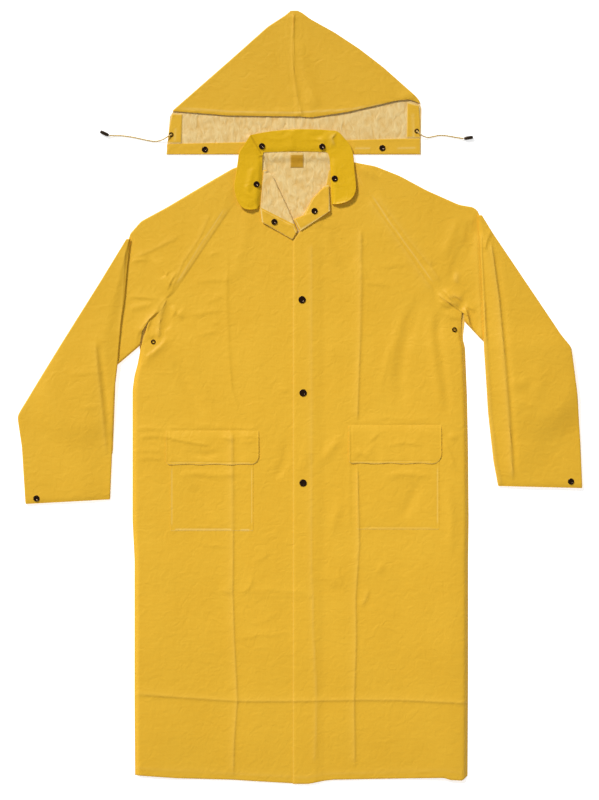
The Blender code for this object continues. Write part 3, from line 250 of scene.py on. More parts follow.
CREASES = tuple(Crease(*row) for row in (     # line, form, reach, lift, how pale, fade
    # pressed folds down and across the body, from when it lay folded up
    (((-132, -58), (-131, -152), (-130, -278), (-131, -379), (-128, -472), (-122, -589), (-128, -667),
     (-130, -743)), RIDGE, 4, 1.87, 0.09, 0.04),
    (((-140, 301), (-142, 189), (-138, 91), (-132, 14), (-115, -35), (-95, -54)), RIDGE, 4, 1.06, 0, 0.2),
    (((119, 332), (119, 208), (117, 111), (112, -29), (111, -52)), RIDGE, 4, 2.09, 0.07, 0.06),
    (((97, -60), (97, -262)), RIDGE, 3.5, 0.92, 0, 0.1),
    (((112, -132), (115, -288), (108, -391), (109, -472), (107, -540), (105, -589), (107, -723)),
     RIDGE, 4, 1.87, 0.08, 0.04),
    (((-323, -577), (-224, -584), (-126, -591), (-10, -591), (97, -589), (194, -589), (286, -593),
     (325, -595)), RIDGE, 4, 1.58, 0.05, 0.02),
    # short creases where the pressed folds cross, and between and below the pockets
    (((-130, -379), (-58, -377), (0, -379), (43, -393)), RIDGE, 3.5, 1.06, 0, 0.3),
    (((-113, -389), (-39, -387), (43, -389)), RIDGE, 3.5, 0.66, 0, 0.3),
    (((-126, -472), (-87, -465), (-21, -461)), RIDGE, 3.5, 0.92, 0, 0.3),
    (((-156, -373), (-144, -379), (-130, -383)), RIDGE, 3.5, 1.72, 0.04, 0.4),
    (((-122, -389), (-107, -379), (-97, -369), (-89, -340)), RIDGE, 3.5, 1.45, 0, 0.4),
    (((-84, -443), (-62, -432), (-39, -418)), RIDGE, 3.5, 0.92, 0, 0.4),
    (((-97, -330), (-74, -315), (-49, -297)), RIDGE, 3.5, 0.79, 0, 0.4),
    (((33, -336), (51, -356), (72, -377)), RIDGE, 3.5, 1.45, 0, 0.4),
    (((41, -330), (58, -350), (80, -371)), RIDGE, 3.5, 1.19, 0, 0.4),
    (((70, -330), (80, -354), (87, -377)), RIDGE, 3.5, 1.06, 0, 0.4),
    (((87, -68), (60, -101), (33, -134)), ROLL, 9, 1.69, 0, 0.4),
    (((80, -191), (68, -235), (58, -280)), ROLL, 9, 1.3, 0, 0.4),
    (((-29, -78), (-27, -103), (-31, -128), (-41, -148), (-54, -165)), ROLL, 7, -1.69, 0, 0.35),
    (((0, -78), (10, -113), (0, -161)), ROLL, 9, 1.17, 0, 0.4),
    (((109, -400), (121, -404), (128, -395), (136, -367)), RIDGE, 3.5, 1.72, 0.04, 0.4),
    (((150, -346), (157, -332), (163, -319)), ROLL, 6, 1.3, 0, 0.4),
    (((192, -327), (229, -387), (268, -449)), ROLL, 9, 1.17, 0, 0.4),
    # chest, left and middle: along the raglan seam, then inside it
    (((-173, 358), (-194, 311), (-227, 262), (-249, 210)), RIDGE, 3, 0.8, 0.05, 0.1),
    (((-130, 377), (-161, 332), (-194, 282), (-222, 241), (-245, 208)), RIDGE, 3, 0.9, 0.1, 0.15),
    (((-97, 373), (-107, 305), (-124, 247), (-152, 208)), ROLL, 12, 0.8, 0, 0.2),
    (((-214, 222), (-171, 226), (-124, 226)), RIDGE, 3.5, 1.19, 0, 0.35),
    (((-220, 156), (-185, 163), (-144, 169)), RIDGE, 3.5, 1.19, 0, 0.4),
    (((-191, 179), (-167, 189), (-142, 198)), RIDGE, 3.5, 0.92, 0, 0.4),
    (((-210, 117), (-185, 122), (-152, 130)), RIDGE, 3.5, 1.06, 0, 0.4),
    (((-175, 136), (-152, 150)), RIDGE, 3.5, 0.79, 0, 0.4),
    (((-194, 272), (-152, 282)), RIDGE, 3.5, 0.66, 0, 0.4),
    (((-253, 82), (-229, 45), (-214, 10), (-181, -47)), ROLL, 10, -1.69, 0, 0.35),
    (((-233, 91), (-198, 33), (-163, -21)), ROLL, 9, 1.04, 0, 0.35),
    (((-68, 226), (19, 229), (111, 226)), RIDGE, 3.5, 0.2, 0, 0.3),
    (((-45, 16), (-31, 12), (-19, 10)), RIDGE, 3.5, 1.06, 0, 0.4),
    # chest, right: along the raglan seam, inside it, then down the side
    (((130, 391), (157, 352), (198, 294), (233, 243), (262, 202)), RIDGE, 4, 1.85, 0.07, 0.1),
    (((140, 397), (175, 354), (218, 297), (253, 255), (276, 220)), RIDGE, 4, 1.85, 0.06, 0.1),
    (((119, 222), (146, 220), (177, 216)), RIDGE, 3.5, 1.19, 0, 0.35),
    (((146, 251), (179, 255), (218, 259)), RIDGE, 3.5, 0.92, 0, 0.4),
    (((119, 260), (134, 227)), RIDGE, 3.5, 1.19, 0, 0.4),
    (((62, 336), (84, 295), (111, 253)), ROLL, 11, -1.95, 0, 0.35),
    (((35, 329), (58, 286), (84, 243)), ROLL, 11, 1.56, 0, 0.35),
    (((58, 107), (72, 72)), RIDGE, 3.5, 0.79, 0, 0.4),
    (((82, 107), (107, 72)), RIDGE, 3.5, 0.79, 0, 0.4),
    (((239, 204), (214, 140), (202, 91), (194, 33), (204, -31)), ROLL, 12, -1.55, 0, 0.2),
    (((212, 192), (191, 130), (175, 72), (173, 4)), ROLL, 10, 1.18, 0, 0.3),
    (((260, 183), (253, 130), (264, 37), (276, -41)), ROLL, 8, 1.2, 0, 0.2),
    (((274, 173), (268, 126), (282, 33), (292, -41)), ROLL, 8, -1.56, 0, 0.2),
    (((179, 111), (167, 60), (156, 4)), RIDGE, 4, 0.92, 0, 0.4),
    # left sleeve's top and armpit
    (((-329, 272), (-313, 274), (-297, 280), (-268, 294), (-231, 313)), RIDGE, 3.5, 1.1, 0.03, 0.2),
    (((-329, 262), (-309, 266), (-294, 264)), RIDGE, 3.5, 1.66, 0, 0.35),
    (((-292, 274), (-276, 255), (-260, 237), (-247, 208)), RIDGE, 3.5, 2.4, 0, 0.3),
    (((-237, 247), (-251, 224), (-260, 202)), RIDGE, 3.5, 2.03, 0, 0.4),
    (((-340, 194), (-301, 192), (-266, 189)), RIDGE, 3.5, 1.48, 0, 0.4),
    (((-338, 169), (-307, 177), (-280, 183)), ROLL, 6, 1.3, 0, 0.4),
    (((-257, 194), (-268, 169), (-273, 140), (-274, 111)), RIDGE, 4, 3.08, 0.08, 0.15),
    (((-249, 183), (-257, 154), (-260, 126)), ROLL, 5, -2.34, 0, 0.3),
    (((-251, 181), (-239, 163), (-227, 148)), RIDGE, 3.5, 2.77, 0, 0.3),
    (((-270, 167), (-280, 163), (-292, 152), (-301, 136), (-313, 121)), RIDGE, 3.5, 2.46, 0.04, 0.2),
    (((-288, 154), (-297, 130), (-290, 117), (-280, 122)), RIDGE, 3.5, 2.22, 0, 0.3),
    (((-257, 122), (-272, 99), (-292, 84), (-309, 60)), STEP_DOWN, 4, 1.8, 0, 0.2),
    (((-260, 109), (-282, 87), (-311, 68)), RIDGE, 4, 1.2, 0.02, 0.3),
    # right armpit and sleeve's top
    (((264, 204), (280, 187), (295, 181), (315, 175)), RIDGE, 4, 3.52, 0.06, 0.25),
    (((274, 210), (290, 191), (307, 177)), STEP_DOWN, 4, 2.82, 0, 0.3),
    (((266, 189), (282, 177), (297, 175)), RIDGE, 3.5, 2.96, 0, 0.35),
    (((321, 177), (327, 154), (336, 124)), RIDGE, 3.5, 3.17, 0.06, 0.25),
    (((280, 165), (295, 154), (313, 150)), RIDGE, 3.5, 2.11, 0, 0.4),
    (((344, 325), (346, 262), (350, 189), (354, 101)), RIDGE, 3, 2.2, 0.03, 0.08),
    (((352, 323), (354, 262), (358, 189), (362, 101)), RIDGE, 3, 1.8, 0.05, 0.08),
    (((330, 360), (321, 305), (295, 251), (284, 220)), STEP_DOWN, 7, -3.56, 0, 0.3),
    (((309, 354), (292, 305), (276, 262)), ROLL, 9, 1.5, 0, 0.3),
    (((315, 245), (305, 239), (303, 227), (313, 220)), ROLL, 5, 1.82, 0.1, 0.4),
    # left flap, pocket and side
    (((-317, -80), (-288, -77), (-262, -78), (-229, -86), (-171, -95)), RIDGE, 3.5, 1.76, 0, 0.12),
    (((-323, -64), (-292, -62), (-257, -64)), RIDGE, 3.5, 1.32, 0, 0.3),
    (((-323, -105), (-292, -105), (-257, -107)), RIDGE, 3.5, 1.19, 0, 0.35),
    (((-323, -121), (-292, -119), (-259, -121)), RIDGE, 3.5, 1.19, 0, 0.35),
    (((-154, -78), (-140, -82), (-124, -84)), RIDGE, 3.5, 1.58, 0, 0.35),
    (((-119, -72), (-107, -78), (-87, -76)), RIDGE, 3, 1.06, 0, 0.35),
    (((-117, -86), (-101, -89), (-86, -86)), RIDGE, 3, 1.06, 0, 0.35),
    (((-218, -107), (-185, -113), (-148, -107)), ROLL, 6, -1.3, 0, 0.35),
    (((-259, -56), (-214, -54), (-165, -58), (-93, -58)), RIDGE, 3.5, 0.92, 0, 0.4),
    (((-245, -154), (-202, -148), (-157, -152), (-101, -146)), ROLL, 6, 1.17, 0, 0.3),
    (((-214, -167), (-187, -200), (-167, -243)), ROLL, 9, -1.17, 0, 0.3),
    (((-214, -278), (-175, -290), (-134, -288)), RIDGE, 3.5, 0.92, 0, 0.35),
    # right flap, pocket and side
    (((111, -95), (121, -109), (132, -122)), RIDGE, 3.5, 1.72, 0, 0.3),
    (((134, -89), (146, -78), (157, -66)), RIDGE, 3.5, 1.45, 0, 0.35),
    (((161, -97), (204, -89), (243, -95)), RIDGE, 3.5, 1.06, 0, 0.35),
    (((111, -47), (165, -43), (218, -45), (274, -41)), RIDGE, 3.5, 1.06, 0, 0.3),
    (((156, -157), (198, -148), (257, -152)), ROLL, 7, 1.3, 0, 0.3),
    (((233, -157), (218, -200), (194, -243)), ROLL, 10, -1.43, 0, 0.3),
    (((278, -78), (292, -109), (305, -146)), RIDGE, 3.5, 1.72, 0, 0.3),
    (((288, -70), (297, -78), (307, -76)), ROLL, 5, 1.56, 0, 0.4),
    (((284, -154), (295, -239), (292, -317)), ROLL, 9, 1.43, 0, 0.35),
    # lower sleeves, left then right
    (((-397, 115), (-392, 62), (-385, -6), (-379, -68), (-374, -119)), RIDGE, 4, 1.8, 0.05, 0.12),
    (((-389, 111), (-383, 56), (-376, -10), (-371, -68)), ROLL, 6, -1.69, 0, 0.15),
    (((-463, 41), (-412, 45), (-362, 47)), RIDGE, 3.5, 0.79, 0, 0.35),
    (((-428, -21), (-406, -21), (-387, -25)), RIDGE, 3.5, 0.92, 0, 0.4),
    (((-339, 294), (-340, 262), (-344, 189), (-349, 111)), RIDGE, 3, 0.92, 0.05, 0.1),
    (((370, 305), (386, 189), (397, 68), (406, -45), (414, -167)), RIDGE, 4, 3, 0.1, 0.05),
    (((377, 294), (393, 185), (403, 68), (412, -45), (420, -157)), ROLL, 6, -1.4, 0, 0.1),
    (((404, 33), (424, 25), (447, 33)), ROLL, 10, 1.3, 0, 0.3),
    (((447, 72), (467, 33), (455, -14)), ROLL, 12, 1.17, 0, 0.4),
    (((410, -16), (432, -10), (467, -25)), ROLL, 10, 1.04, 0, 0.4),
    # hood: its middle seam, face edge and panels
    (((-11, 747), (-13, 700), (-12, 640), (-4, 579), (4, 544)), RIDGE, 4, 2.3, 0.02, 0.04),
    (((-16, 741), (-17, 663), (-12, 581), (-10, 546)), ROLL, 6, -0.5, 0, 0.1),
    (((-9, 700), (4, 655), (17, 612), (24, 580), (14, 548)), ROLL, 12, 1.5, 0, 0.2),
    (((16, 601), (31, 579), (45, 558)), RIDGE, 3.5, 1.06, 0, 0.3),
    (((-245, 562), (-136, 554), (-19, 552), (87, 558), (175, 570), (210, 579)), MARK, 1.6, 0, 0.45, 0.06),
    (((191, 575), (210, 587), (229, 583)), ROLL, 9, 1.43, 0, 0.3),
    # welds of the front edge and the hem
    (((23, 305), (24, -6), (23, -317), (27, -472), (33, -589), (29, -717)), RIDGE, 2.6, 0.8, 0.12, 0.02),
    (((-323, -722), (-239, -728), (-134, -732), (-16, -739)), RIDGE, 2.4, 0.54, 0.08, 0.01),
    (((-14, -740), (16, -739), (47, -733), (278, -727), (315, -732), (325, -725)), RIDGE, 2.4, 0.45,
     0.08, 0.01),
    # collar's back, neck seam and the neck band's welds
    (((-13, 518), (-13, 478)), RIDGE, 3, 1.3, 0, 0.05),
    (((-70, 471), (-39, 472), (0, 472.5), (52, 473)), MARK, 2, 0, 0.9, 0.05),
    (((-62, 436), (-67, 455), (-72, 472)), STEP_DOWN, 2.4, 2.4, 0, 0.06),
    (((105, 484), (138, 484)), MARK, 1.8, 0, 0.5, 0.1),
    (((187, 483), (227, 484)), MARK, 1.8, 0, 0.5, 0.1),
    # drawstring hems, and the lining's folds under the face edge
    (((-241, 523), (-243, 498)), MARK, 1.6, 0, 0.5, 0.05),
    (((219, 552), (220, 502)), MARK, 1.6, 0, 0.7, 0.05),
    (((-27, 544), (-26, 517)), RIDGE, 3, -0.99, 0, 0.1),
    (((-18, 544), (-17, 517)), RIDGE, 3, -0.77, 0, 0.1),
    (((-3, 544), (-7, 517)), RIDGE, 3, -0.99, 0, 0.1),
    # collar and raglan shoulder
    (((-87, 455), (-97, 422), (-105, 383)), ROLL, 6, 1.56, 0, 0.35),
    (((33, 505), (45, 496), (39, 478)), ROLL, 5, 1.56, 0.05, 0.35),
    (((74, 517), (62, 502), (70, 484)), RIDGE, 3, 2.4, 0.25, 0.35),
    (((-103, 397), (-91, 385), (-82, 373)), RIDGE, 3.5, 1.58, 0, 0.35),
    (((-117, 385), (-103, 373), (-93, 367)), RIDGE, 3.5, 1.19, 0, 0.4),
    (((-72, 467), (-84, 486), (-99, 511)), STEP_DOWN, 2.6, 3.6, 0, 0.1),
    (((111, 449), (128, 441), (152, 422)), ROLL, 8, 1.69, 0, 0.35),
    (((117, 461), (140, 449), (163, 428)), ROLL, 6, -1.3, 0, 0.35),
    # right sleeve's inner edge and underarm
    (((358, 190), (363, 93), (371, -29), (382, -126), (392, -173)), RIDGE, 3, 1.5, 0.1, 0.02),
    (((354, 109), (330, 140), (323, 177)), STEP_DOWN, 3, 4.2, 0, 0.1),
    (((286, 190), (300, 196), (316, 188)), RIDGE, 3, 3.0, 0.1, 0.2),
    (((318, 178), (330, 172), (341, 166)), RIDGE, 3, 2.6, 0, 0.25),
    # welds of the flaps, pockets and raglan seams
    (((-258, -63), (-170, -62), (-82, -63)), RIDGE, 2.5, 1.1, 0, 0.04),
    (((97, -51), (180, -52), (273, -51)), RIDGE, 2.5, 1.1, 0, 0.04),
    (((-256, -128), (-205, -127), (-160, -129), (-92, -128)), MARK, 1.4, 0, 0.2, 0.05),
    (((98, -126), (150, -127), (205, -125), (258, -126)), MARK, 1.4, 0, 0.15, 0.05),
    (((-249, -133), (-249, -255)), MARK, 1.4, 0, 0.28, 0.1),
    (((-246, -257), (-130, -257)), MARK, 1.4, 0, 0.5, 0.05),
    (((-118, -258), (-96, -258)), MARK, 1.4, 0, 0.6, 0.2),
    (((-94, -133), (-94, -252)), MARK, 1.4, 0, 0.22, 0.1),
    (((267, -132), (267, -252)), MARK, 1.4, 0, 0.25, 0.1),
    (((116, -254), (264, -254)), MARK, 1.4, 0, 0.16, 0.1),
    (((-143, 371), (-193, 297), (-244, 214)), MARK, 1.3, 0, 0.3, 0.1),
    (((136, 398), (170, 346), (214, 286), (262, 218)), MARK, 1.3, 0, 0.3, 0.1),
    # right shoulder
    (((340, 358), (332, 325), (318, 292)), RIDGE, 5, 2.6, 0, 0.25),
    (((374, 326), (364, 306), (357, 282)), RIDGE, 4, 2.4, 0, 0.25),
))


class Relief:
    """How far the cloth stands above its lowest lie, the same for every layer at one place.

    It is worked out once at every whole millimetre, and read between them. A ridge comes down
    slowly towards the light and steeply away from it.
    """

    AWAY = (0.6, -0.8)         # the light's way over the cloth
    LIT, SHADED = 2.2, 0.45    # how wide a ridge's two slopes are, in its reaches

    def __init__(self) -> None:
        """Lay the long sections, the waves and then each crease on the millimetre grid."""
        self.x, self.y = np.meshgrid(np.arange(LOW_X, -LOW_X + 1.0), np.arange(LOW_Y, -LOW_Y + 1.0))
        self.rise = self.sections() + self.waves() + self.lining()
        self.stress = np.zeros(self.x.shape)
        for crease in CREASES:
            self.press(crease)
        self.rise = np.maximum(self.rise, 0.0)

    @staticmethod
    def smoothed(values: np.ndarray, reach: int) -> np.ndarray:
        """A sliding mean over a bell-shaped window of values one millimetre apart."""
        window = np.hanning(2 * reach + 3)
        return np.convolve(np.pad(values, reach + 1, mode="edge"), window / window.sum(), "valid")

    @staticmethod
    def weight(x: np.ndarray, y: np.ndarray, box: tuple[float, float, float, float], edge: float
               ) -> np.ndarray:
        """1 inside a box and 0 outside it.

        Args:
            x, y: the points, in mm.
            box: its lowest and highest x, then its lowest and highest y.
            edge: width over which it eases, half of it on each side of the box's edges.

        Returns:
            The product of the four edges' eases.
        """
        low_x, high_x, low_y, high_y = box
        return (eased((x - low_x) / edge + 0.5) * eased((high_x - x) / edge + 0.5)
                * eased((y - low_y) / edge + 0.5) * eased((high_y - y) / edge + 0.5))

    def sections(self) -> np.ndarray:
        """The body's section across and along it: their sum, faded out at the chest and sides.

        The tables give x and height across the body, then y and height along it.
        """
        across = ((-330, 1.4), (-314, 2.0), (-285, 2.4), (-250, 2.0), (-198, 0.9), (-134, 0.2), (-126, 0.2),
                  (-88, 0.9), (-45, 0.5), (-18, 0.1), (30, 0.1), (49, 0.2), (78, 0.8), (106, 0.2), (114, 0.2),
                  (150, 0.6), (200, 1.0), (262, 3.2), (292, 4.4), (312, 4.2), (330, 3.2))
        along = ((-735, 0.2), (-660, 0.8), (-590, 0.1), (-490, 1.0), (-385, 0.1), (-320, 0.5), (-266, 0.1),
                 (-50, 0), (0, 0))
        body = self.smoothed(np.interp(self.x[0], *np.array(across).T), 9)[None, :]
        down = self.smoothed(np.interp(self.y[:, 0], *np.array(along).T), 12)[:, None]
        return eased((150 - self.y) / 60) * (body + down * eased((340 - np.abs(self.x)) / 30))

    def strength(self, x: np.ndarray, y: np.ndarray, crease: Crease) -> np.ndarray:
        """Strength of one crease at each point, from 0 to 1.

        Args:
            x, y: the points, in mm.
            crease: the crease.

        Returns:
            With d the distance from its line, for a ridge exp(-d / LIT reach) towards the light
            and exp(-d / SHADED reach) away from it, for a roll or a mark exp(-(d / reach) squared), and for a
            step half of 1 + tanh(2 d / reach) with a wider bell round it, all faded to 0 at the
            line's ends.
        """
        line = np.array(crease.line, dtype=float)
        spans, before = np.hypot(*np.diff(line, axis=0).T), lengths(line)
        best, signed, along = np.full(x.shape, np.inf), np.zeros(x.shape), np.zeros(x.shape)
        steep = np.zeros(x.shape, dtype=bool)
        for k, ((ax, ay), (bx, by)) in enumerate(zip(line, line[1:])):
            distance, sign, t = from_segment(x, y, ax, ay, bx, by)
            near = distance < best
            best = np.where(near, distance, best)
            signed = np.where(near, sign * distance, signed)
            off_x, off_y = x - ax - t * (bx - ax), y - ay - t * (by - ay)
            steep = np.where(near, self.AWAY[0] * off_x + self.AWAY[1] * off_y > 0, steep)
            along = np.where(near, (before[k] + t * spans[k]) / before[-1], along)
        ends = eased(along / crease.fade) * eased((1 - along) / crease.fade)
        if crease.form in (Form.ROLL, Form.MARK):
            return np.exp(-(best / crease.reach) ** 2) * ends
        if crease.form is Form.STEP:
            rise = 0.5 + 0.5 * np.tanh(signed / crease.reach * 2)
            return rise * np.exp(-(best / crease.reach / 2.5) ** 2) * ends
        return np.exp(-best / crease.reach / np.where(steep, self.SHADED, self.LIT)) * ends

    def press(self, crease: Crease) -> None:
        """Add one crease to the grid, within the window it reaches: its lift, and how pale it is."""
        line = np.array(crease.line) - [LOW_X, LOW_Y]
        margin = int(6 * crease.reach)
        low_x, low_y = np.maximum(line.min(axis=0) - margin, 0).astype(int)
        high_x, high_y = (line.max(axis=0) + margin).astype(int)
        part = (slice(low_y, high_y), slice(low_x, high_x))
        strength = self.strength(self.x[part], self.y[part], crease)
        self.rise[part] += crease.lift * strength
        self.stress[part] = np.maximum(self.stress[part], crease.pale * strength ** 1.6)

    def waves(self) -> np.ndarray:
        """Soft unevenness all over: sines of 70 to 260 mm whose phase is bent by other sines."""
        x, y = self.x, self.y
        bend_x, bend_y = x + 18 * np.sin(y / 41 + 1.3), y + 14 * np.sin(x / 37 + 0.4)
        return (0.2 * np.sin(bend_x / 23 + 0.6) * np.sin(bend_y / 39) + 0.16 * np.sin(bend_y / 17 + x / 61)
                + 0.14 * np.sin(bend_x / 11 + y / 29) * np.sin(y / 53 + 0.8) + 0.9)

    def lining(self) -> np.ndarray:
        """Fine wrinkles of the thin lining, only where it shows: in the neck and inside the hood.

        Two sets of sines of about 20 mm whose phases are bent by longer and shorter ones.
        """
        x, y = self.x, self.y
        shown = self.weight(x, y, (-72, 56, 330, 468), 12) + self.weight(x, y, (-226, 204, 498, 560), 12)
        bend = x + 11 * np.sin(y / 13.0 + x / 31) + 5 * np.sin(y / 6.1 + x / 17)
        turn = y + 9 * np.sin(x / 12.0 - y / 40) + 4 * np.sin(x / 6.2 + y / 19)
        folds = np.sin(bend / 3.6 + turn / 9) * 0.6 + np.sin(turn / 3.1 + bend / 12) * 0.7 + 1.3
        return shown * 0.3 * folds

    @staticmethod
    def read(table: np.ndarray, x: np.ndarray, y: np.ndarray) -> np.ndarray:
        """A grid's values at points in mm: the mean of its four nearest, by how near each is."""
        across = np.clip(x - LOW_X, 0, table.shape[1] - 1.01)
        down = np.clip(y - LOW_Y, 0, table.shape[0] - 1.01)
        i, j = down.astype(int), across.astype(int)
        s, t = across - j, down - i
        return ((1 - t) * ((1 - s) * table[i, j] + s * table[i, j + 1])
                + t * ((1 - s) * table[i + 1, j] + s * table[i + 1, j + 1]))

    def height(self, x: np.ndarray, y: np.ndarray) -> np.ndarray:
        """Height in mm at each point, never below 0."""
        return self.read(self.rise, x, y)

    def pale(self, x: np.ndarray, y: np.ndarray) -> np.ndarray:
        """How far the coating is stressed pale at each point, from 0 to 1."""
        return self.read(self.stress, x, y)


RELIEF = Relief()


# ---- finishes -----------------------------------------------------------------------------

BANDS = 0.314      # a wave texture of scale 1 repeats every tenth of pi metres


def node(tree: bpy.types.NodeTree, kind: str, settings: dict | None = None,
         inputs: dict | None = None) -> bpy.types.Node:
    """Add a node to a tree.

    Args:
        tree: the tree it goes into.
        kind: the node's type, less the ShaderNode that each one starts with.
        settings: its own properties by name.
        inputs: by socket name or number, a value to set or another node's output to link.

    Returns:
        The node.
    """
    made = tree.nodes.new("ShaderNode" + kind)
    for name, value in (settings or {}).items():
        setattr(made, name, value)
    for name, value in (inputs or {}).items():
        socket = made.inputs[name]
        if isinstance(value, bpy.types.NodeSocket):
            tree.links.new(value, socket)
        else:
            socket.default_value = value
    return made


def blank(name: str) -> tuple[bpy.types.Material, bpy.types.NodeTree]:
    """A new material with an output and nothing else."""
    made = bpy.data.materials.new(name)
    made.use_nodes = True
    made.node_tree.nodes.clear()
    return made, made.node_tree


@dataclass(frozen=True)
class CoatedCloth:
    """Matt PVC film on a cotton scrim, calendered: the film hides the yarns but keeps their print.

    The eye gets a waxy yellow with a soft sheen, a faint crosswise rib from the scrim, slightly
    deeper and lighter patches where the film varies, and pale lines where it is creased.
    """

    name: str = "pvc_coated_cotton_yellow"
    colour: str = "#eab733"
    deep: str = "#e7b22f"
    stressed: str = "#f6d88a"
    roughness: float = 0.48
    patches: float = 9.0      # to the metre: the film varies over a hand's width
    grain: float = 420.0      # to the metre: the film's own grain, 2.4 mm, as coarse as it needs to show
    rib_mm: float = 3.2       # the real scrim has a yarn every 0.7 mm, too fine to show
    drawn: float = 9.0        # a yarn's print is this much longer than wide
    print_height: float = 0.02
    crinkle_mm: float = 19.0  # handling leaves shallow wrinkles all over, a finger's width apart
    crinkle_height: float = 1.05

    def make(self) -> bpy.types.Material:
        """Build the material: patches and the scrim's print in the colour, print and grain in the bump.

        Returns:
            The material.
        """
        made, tree = blank(self.name)
        uv = node(tree, "UVMap", {"uv_map": "weave"}).outputs[0]
        spot = node(tree, "TexCoord").outputs["Object"]
        patches = node(tree, "TexNoise", None,
                       {"Vector": spot, "Scale": self.patches, "Detail": 3.0}).outputs[0]
        fine = node(tree, "TexNoise", None,
                    {"Vector": spot, "Scale": self.grain, "Detail": 2.0}).outputs[0]
        yarn_scale = 1 / (self.rib_mm * MM * self.drawn)
        across = node(tree, "Mapping", None,
                      {"Vector": uv, "Scale": (1.0, self.drawn, 1.0)}).outputs[0]
        rib = node(tree, "TexNoise", None,
                   {"Vector": across, "Scale": yarn_scale, "Detail": 2.0}).outputs[0]
        along = node(tree, "Mapping", None,
                     {"Vector": uv, "Scale": (self.drawn, 1.0, 1.0)}).outputs[0]
        warp = node(tree, "TexNoise", None,
                    {"Vector": along, "Scale": yarn_scale, "Detail": 2.0}).outputs[0]
        yarns = node(tree, "Math", {"operation": "MULTIPLY_ADD"},
                     {0: warp, 1: 0.35, 2: rib}).outputs[0]
        mottled = node(tree, "Math", {"operation": "ADD"}, {0: patches, 1: yarns}).outputs[0]
        share = node(tree, "MapRange", None,
                     {0: mottled, 1: 0.85, 2: 1.5, 3: 0.0, 4: 1.0}).outputs[0]
        tone = node(tree, "Mix", {"data_type": "RGBA"},
                    {0: share, 6: linear(self.deep), 7: linear(self.colour)}).outputs[2]
        pale = node(tree, "Attribute", {"attribute_name": "pale"}).outputs["Fac"]
        base = node(tree, "Mix", {"data_type": "RGBA"},
                    {0: pale, 6: tone, 7: linear(self.stressed)}).outputs[2]
        relief = node(tree, "Math", {"operation": "MULTIPLY_ADD"},
                      {0: fine, 1: 0.5, 2: yarns}).outputs[0]
        creased = node(tree, "TexNoise", None, {
            "Vector": spot, "Scale": 1 / (self.crinkle_mm * MM), "Detail": 3.0, "Distortion": 1.2}).outputs[0]
        crinkle = node(tree, "Bump", None, {
            "Height": creased, "Distance": self.crinkle_height * MM, "Strength": 1.0}).outputs[0]
        bump = node(tree, "Bump", None, {
            "Height": relief, "Distance": self.print_height * MM, "Strength": 1.0,
            "Normal": crinkle}).outputs[0]
        rough = node(tree, "MapRange", None, {
            0: mottled, 1: 0.8, 2: 1.55, 3: self.roughness - 0.05, 4: self.roughness + 0.06}).outputs[0]
        shader = node(tree, "BsdfPrincipled", None, {
            "Base Color": base, "Roughness": rough, "Normal": bump, "IOR": 1.5, "Specular IOR Level": 0.22,
            "Sheen Weight": 0.03, "Sheen Roughness": 0.5})
        node(tree, "OutputMaterial", None, {"Surface": shader.outputs[0]})
        return made


@dataclass(frozen=True)
class Lining:
    """The inside of the cloth: cotton scrim bonded to the film, brushed thin, cream with yellow under it.

    The eye gets a paler, duller face and a fine square weave, with painted light on the crests of its ripples
    and painted shade in their hollows.
    """

    name: str = "cotton_scrim_cream"
    # the ripples' crests take colour and their hollows deep: painted light and painted shade
    colour: str = "#f4d592"
    deep: str = "#e4b867"
    yarn_mm: float = 1.6      # drawn about twice as coarse as the real one, to show
    ripples: float = 62.0     # to the metre: drawn ripples a finger's width apart
    ripple_height: float = 1.6
    weave_height: float = 0.05

    def make(self) -> bpy.types.Material:
        """Build the material: painted light and shade of the ripples in the colour, the ripples and a square
        weave in the bump.

        Returns:
            The material.
        """
        made, tree = blank(self.name)
        uv = node(tree, "UVMap", {"uv_map": "weave"}).outputs[0]
        spot = node(tree, "TexCoord").outputs["Object"]
        drawn = node(tree, "Mapping", None, {"Vector": spot, "Scale": (1.7, 0.75, 1.0)}).outputs[0]
        ripples = node(tree, "TexNoise", None,
                       {"Vector": drawn, "Scale": self.ripples, "Detail": 4.0, "Distortion": 1.1}).outputs[0]
        # painted light and shade: the tone is light where the ripples' bump is high and deep where it is low
        share = node(tree, "MapRange", None,
                     {0: ripples, 1: 0.28, 2: 0.66, 3: 0.0, 4: 1.0}).outputs[0]
        tone = node(tree, "Mix", {"data_type": "RGBA"},
                    {0: share, 6: linear(self.deep), 7: linear(self.colour)}).outputs[2]
        waves = [node(tree, "TexWave", {"bands_direction": way},
                      {"Vector": uv, "Scale": BANDS / (self.yarn_mm * MM), "Distortion": 0.6}).outputs[1]
                 for way in ("X", "Y")]
        weave = node(tree, "Math", {"operation": "ADD"}, {0: waves[0], 1: waves[1]}).outputs[0]
        creased = node(tree, "Bump", None,
                       {"Height": ripples, "Distance": self.ripple_height * MM}).outputs[0]
        bump = node(tree, "Bump", None,
                    {"Height": weave, "Distance": self.weave_height * MM, "Normal": creased}).outputs[0]
        shader = node(tree, "BsdfPrincipled", None, {
            "Base Color": tone, "Roughness": 0.5, "Normal": bump, "IOR": 1.5, "Specular IOR Level": 0.4,
            "Sheen Weight": 0.2, "Sheen Roughness": 0.4})
        node(tree, "OutputMaterial", None, {"Surface": shader.outputs[0]})
        return made


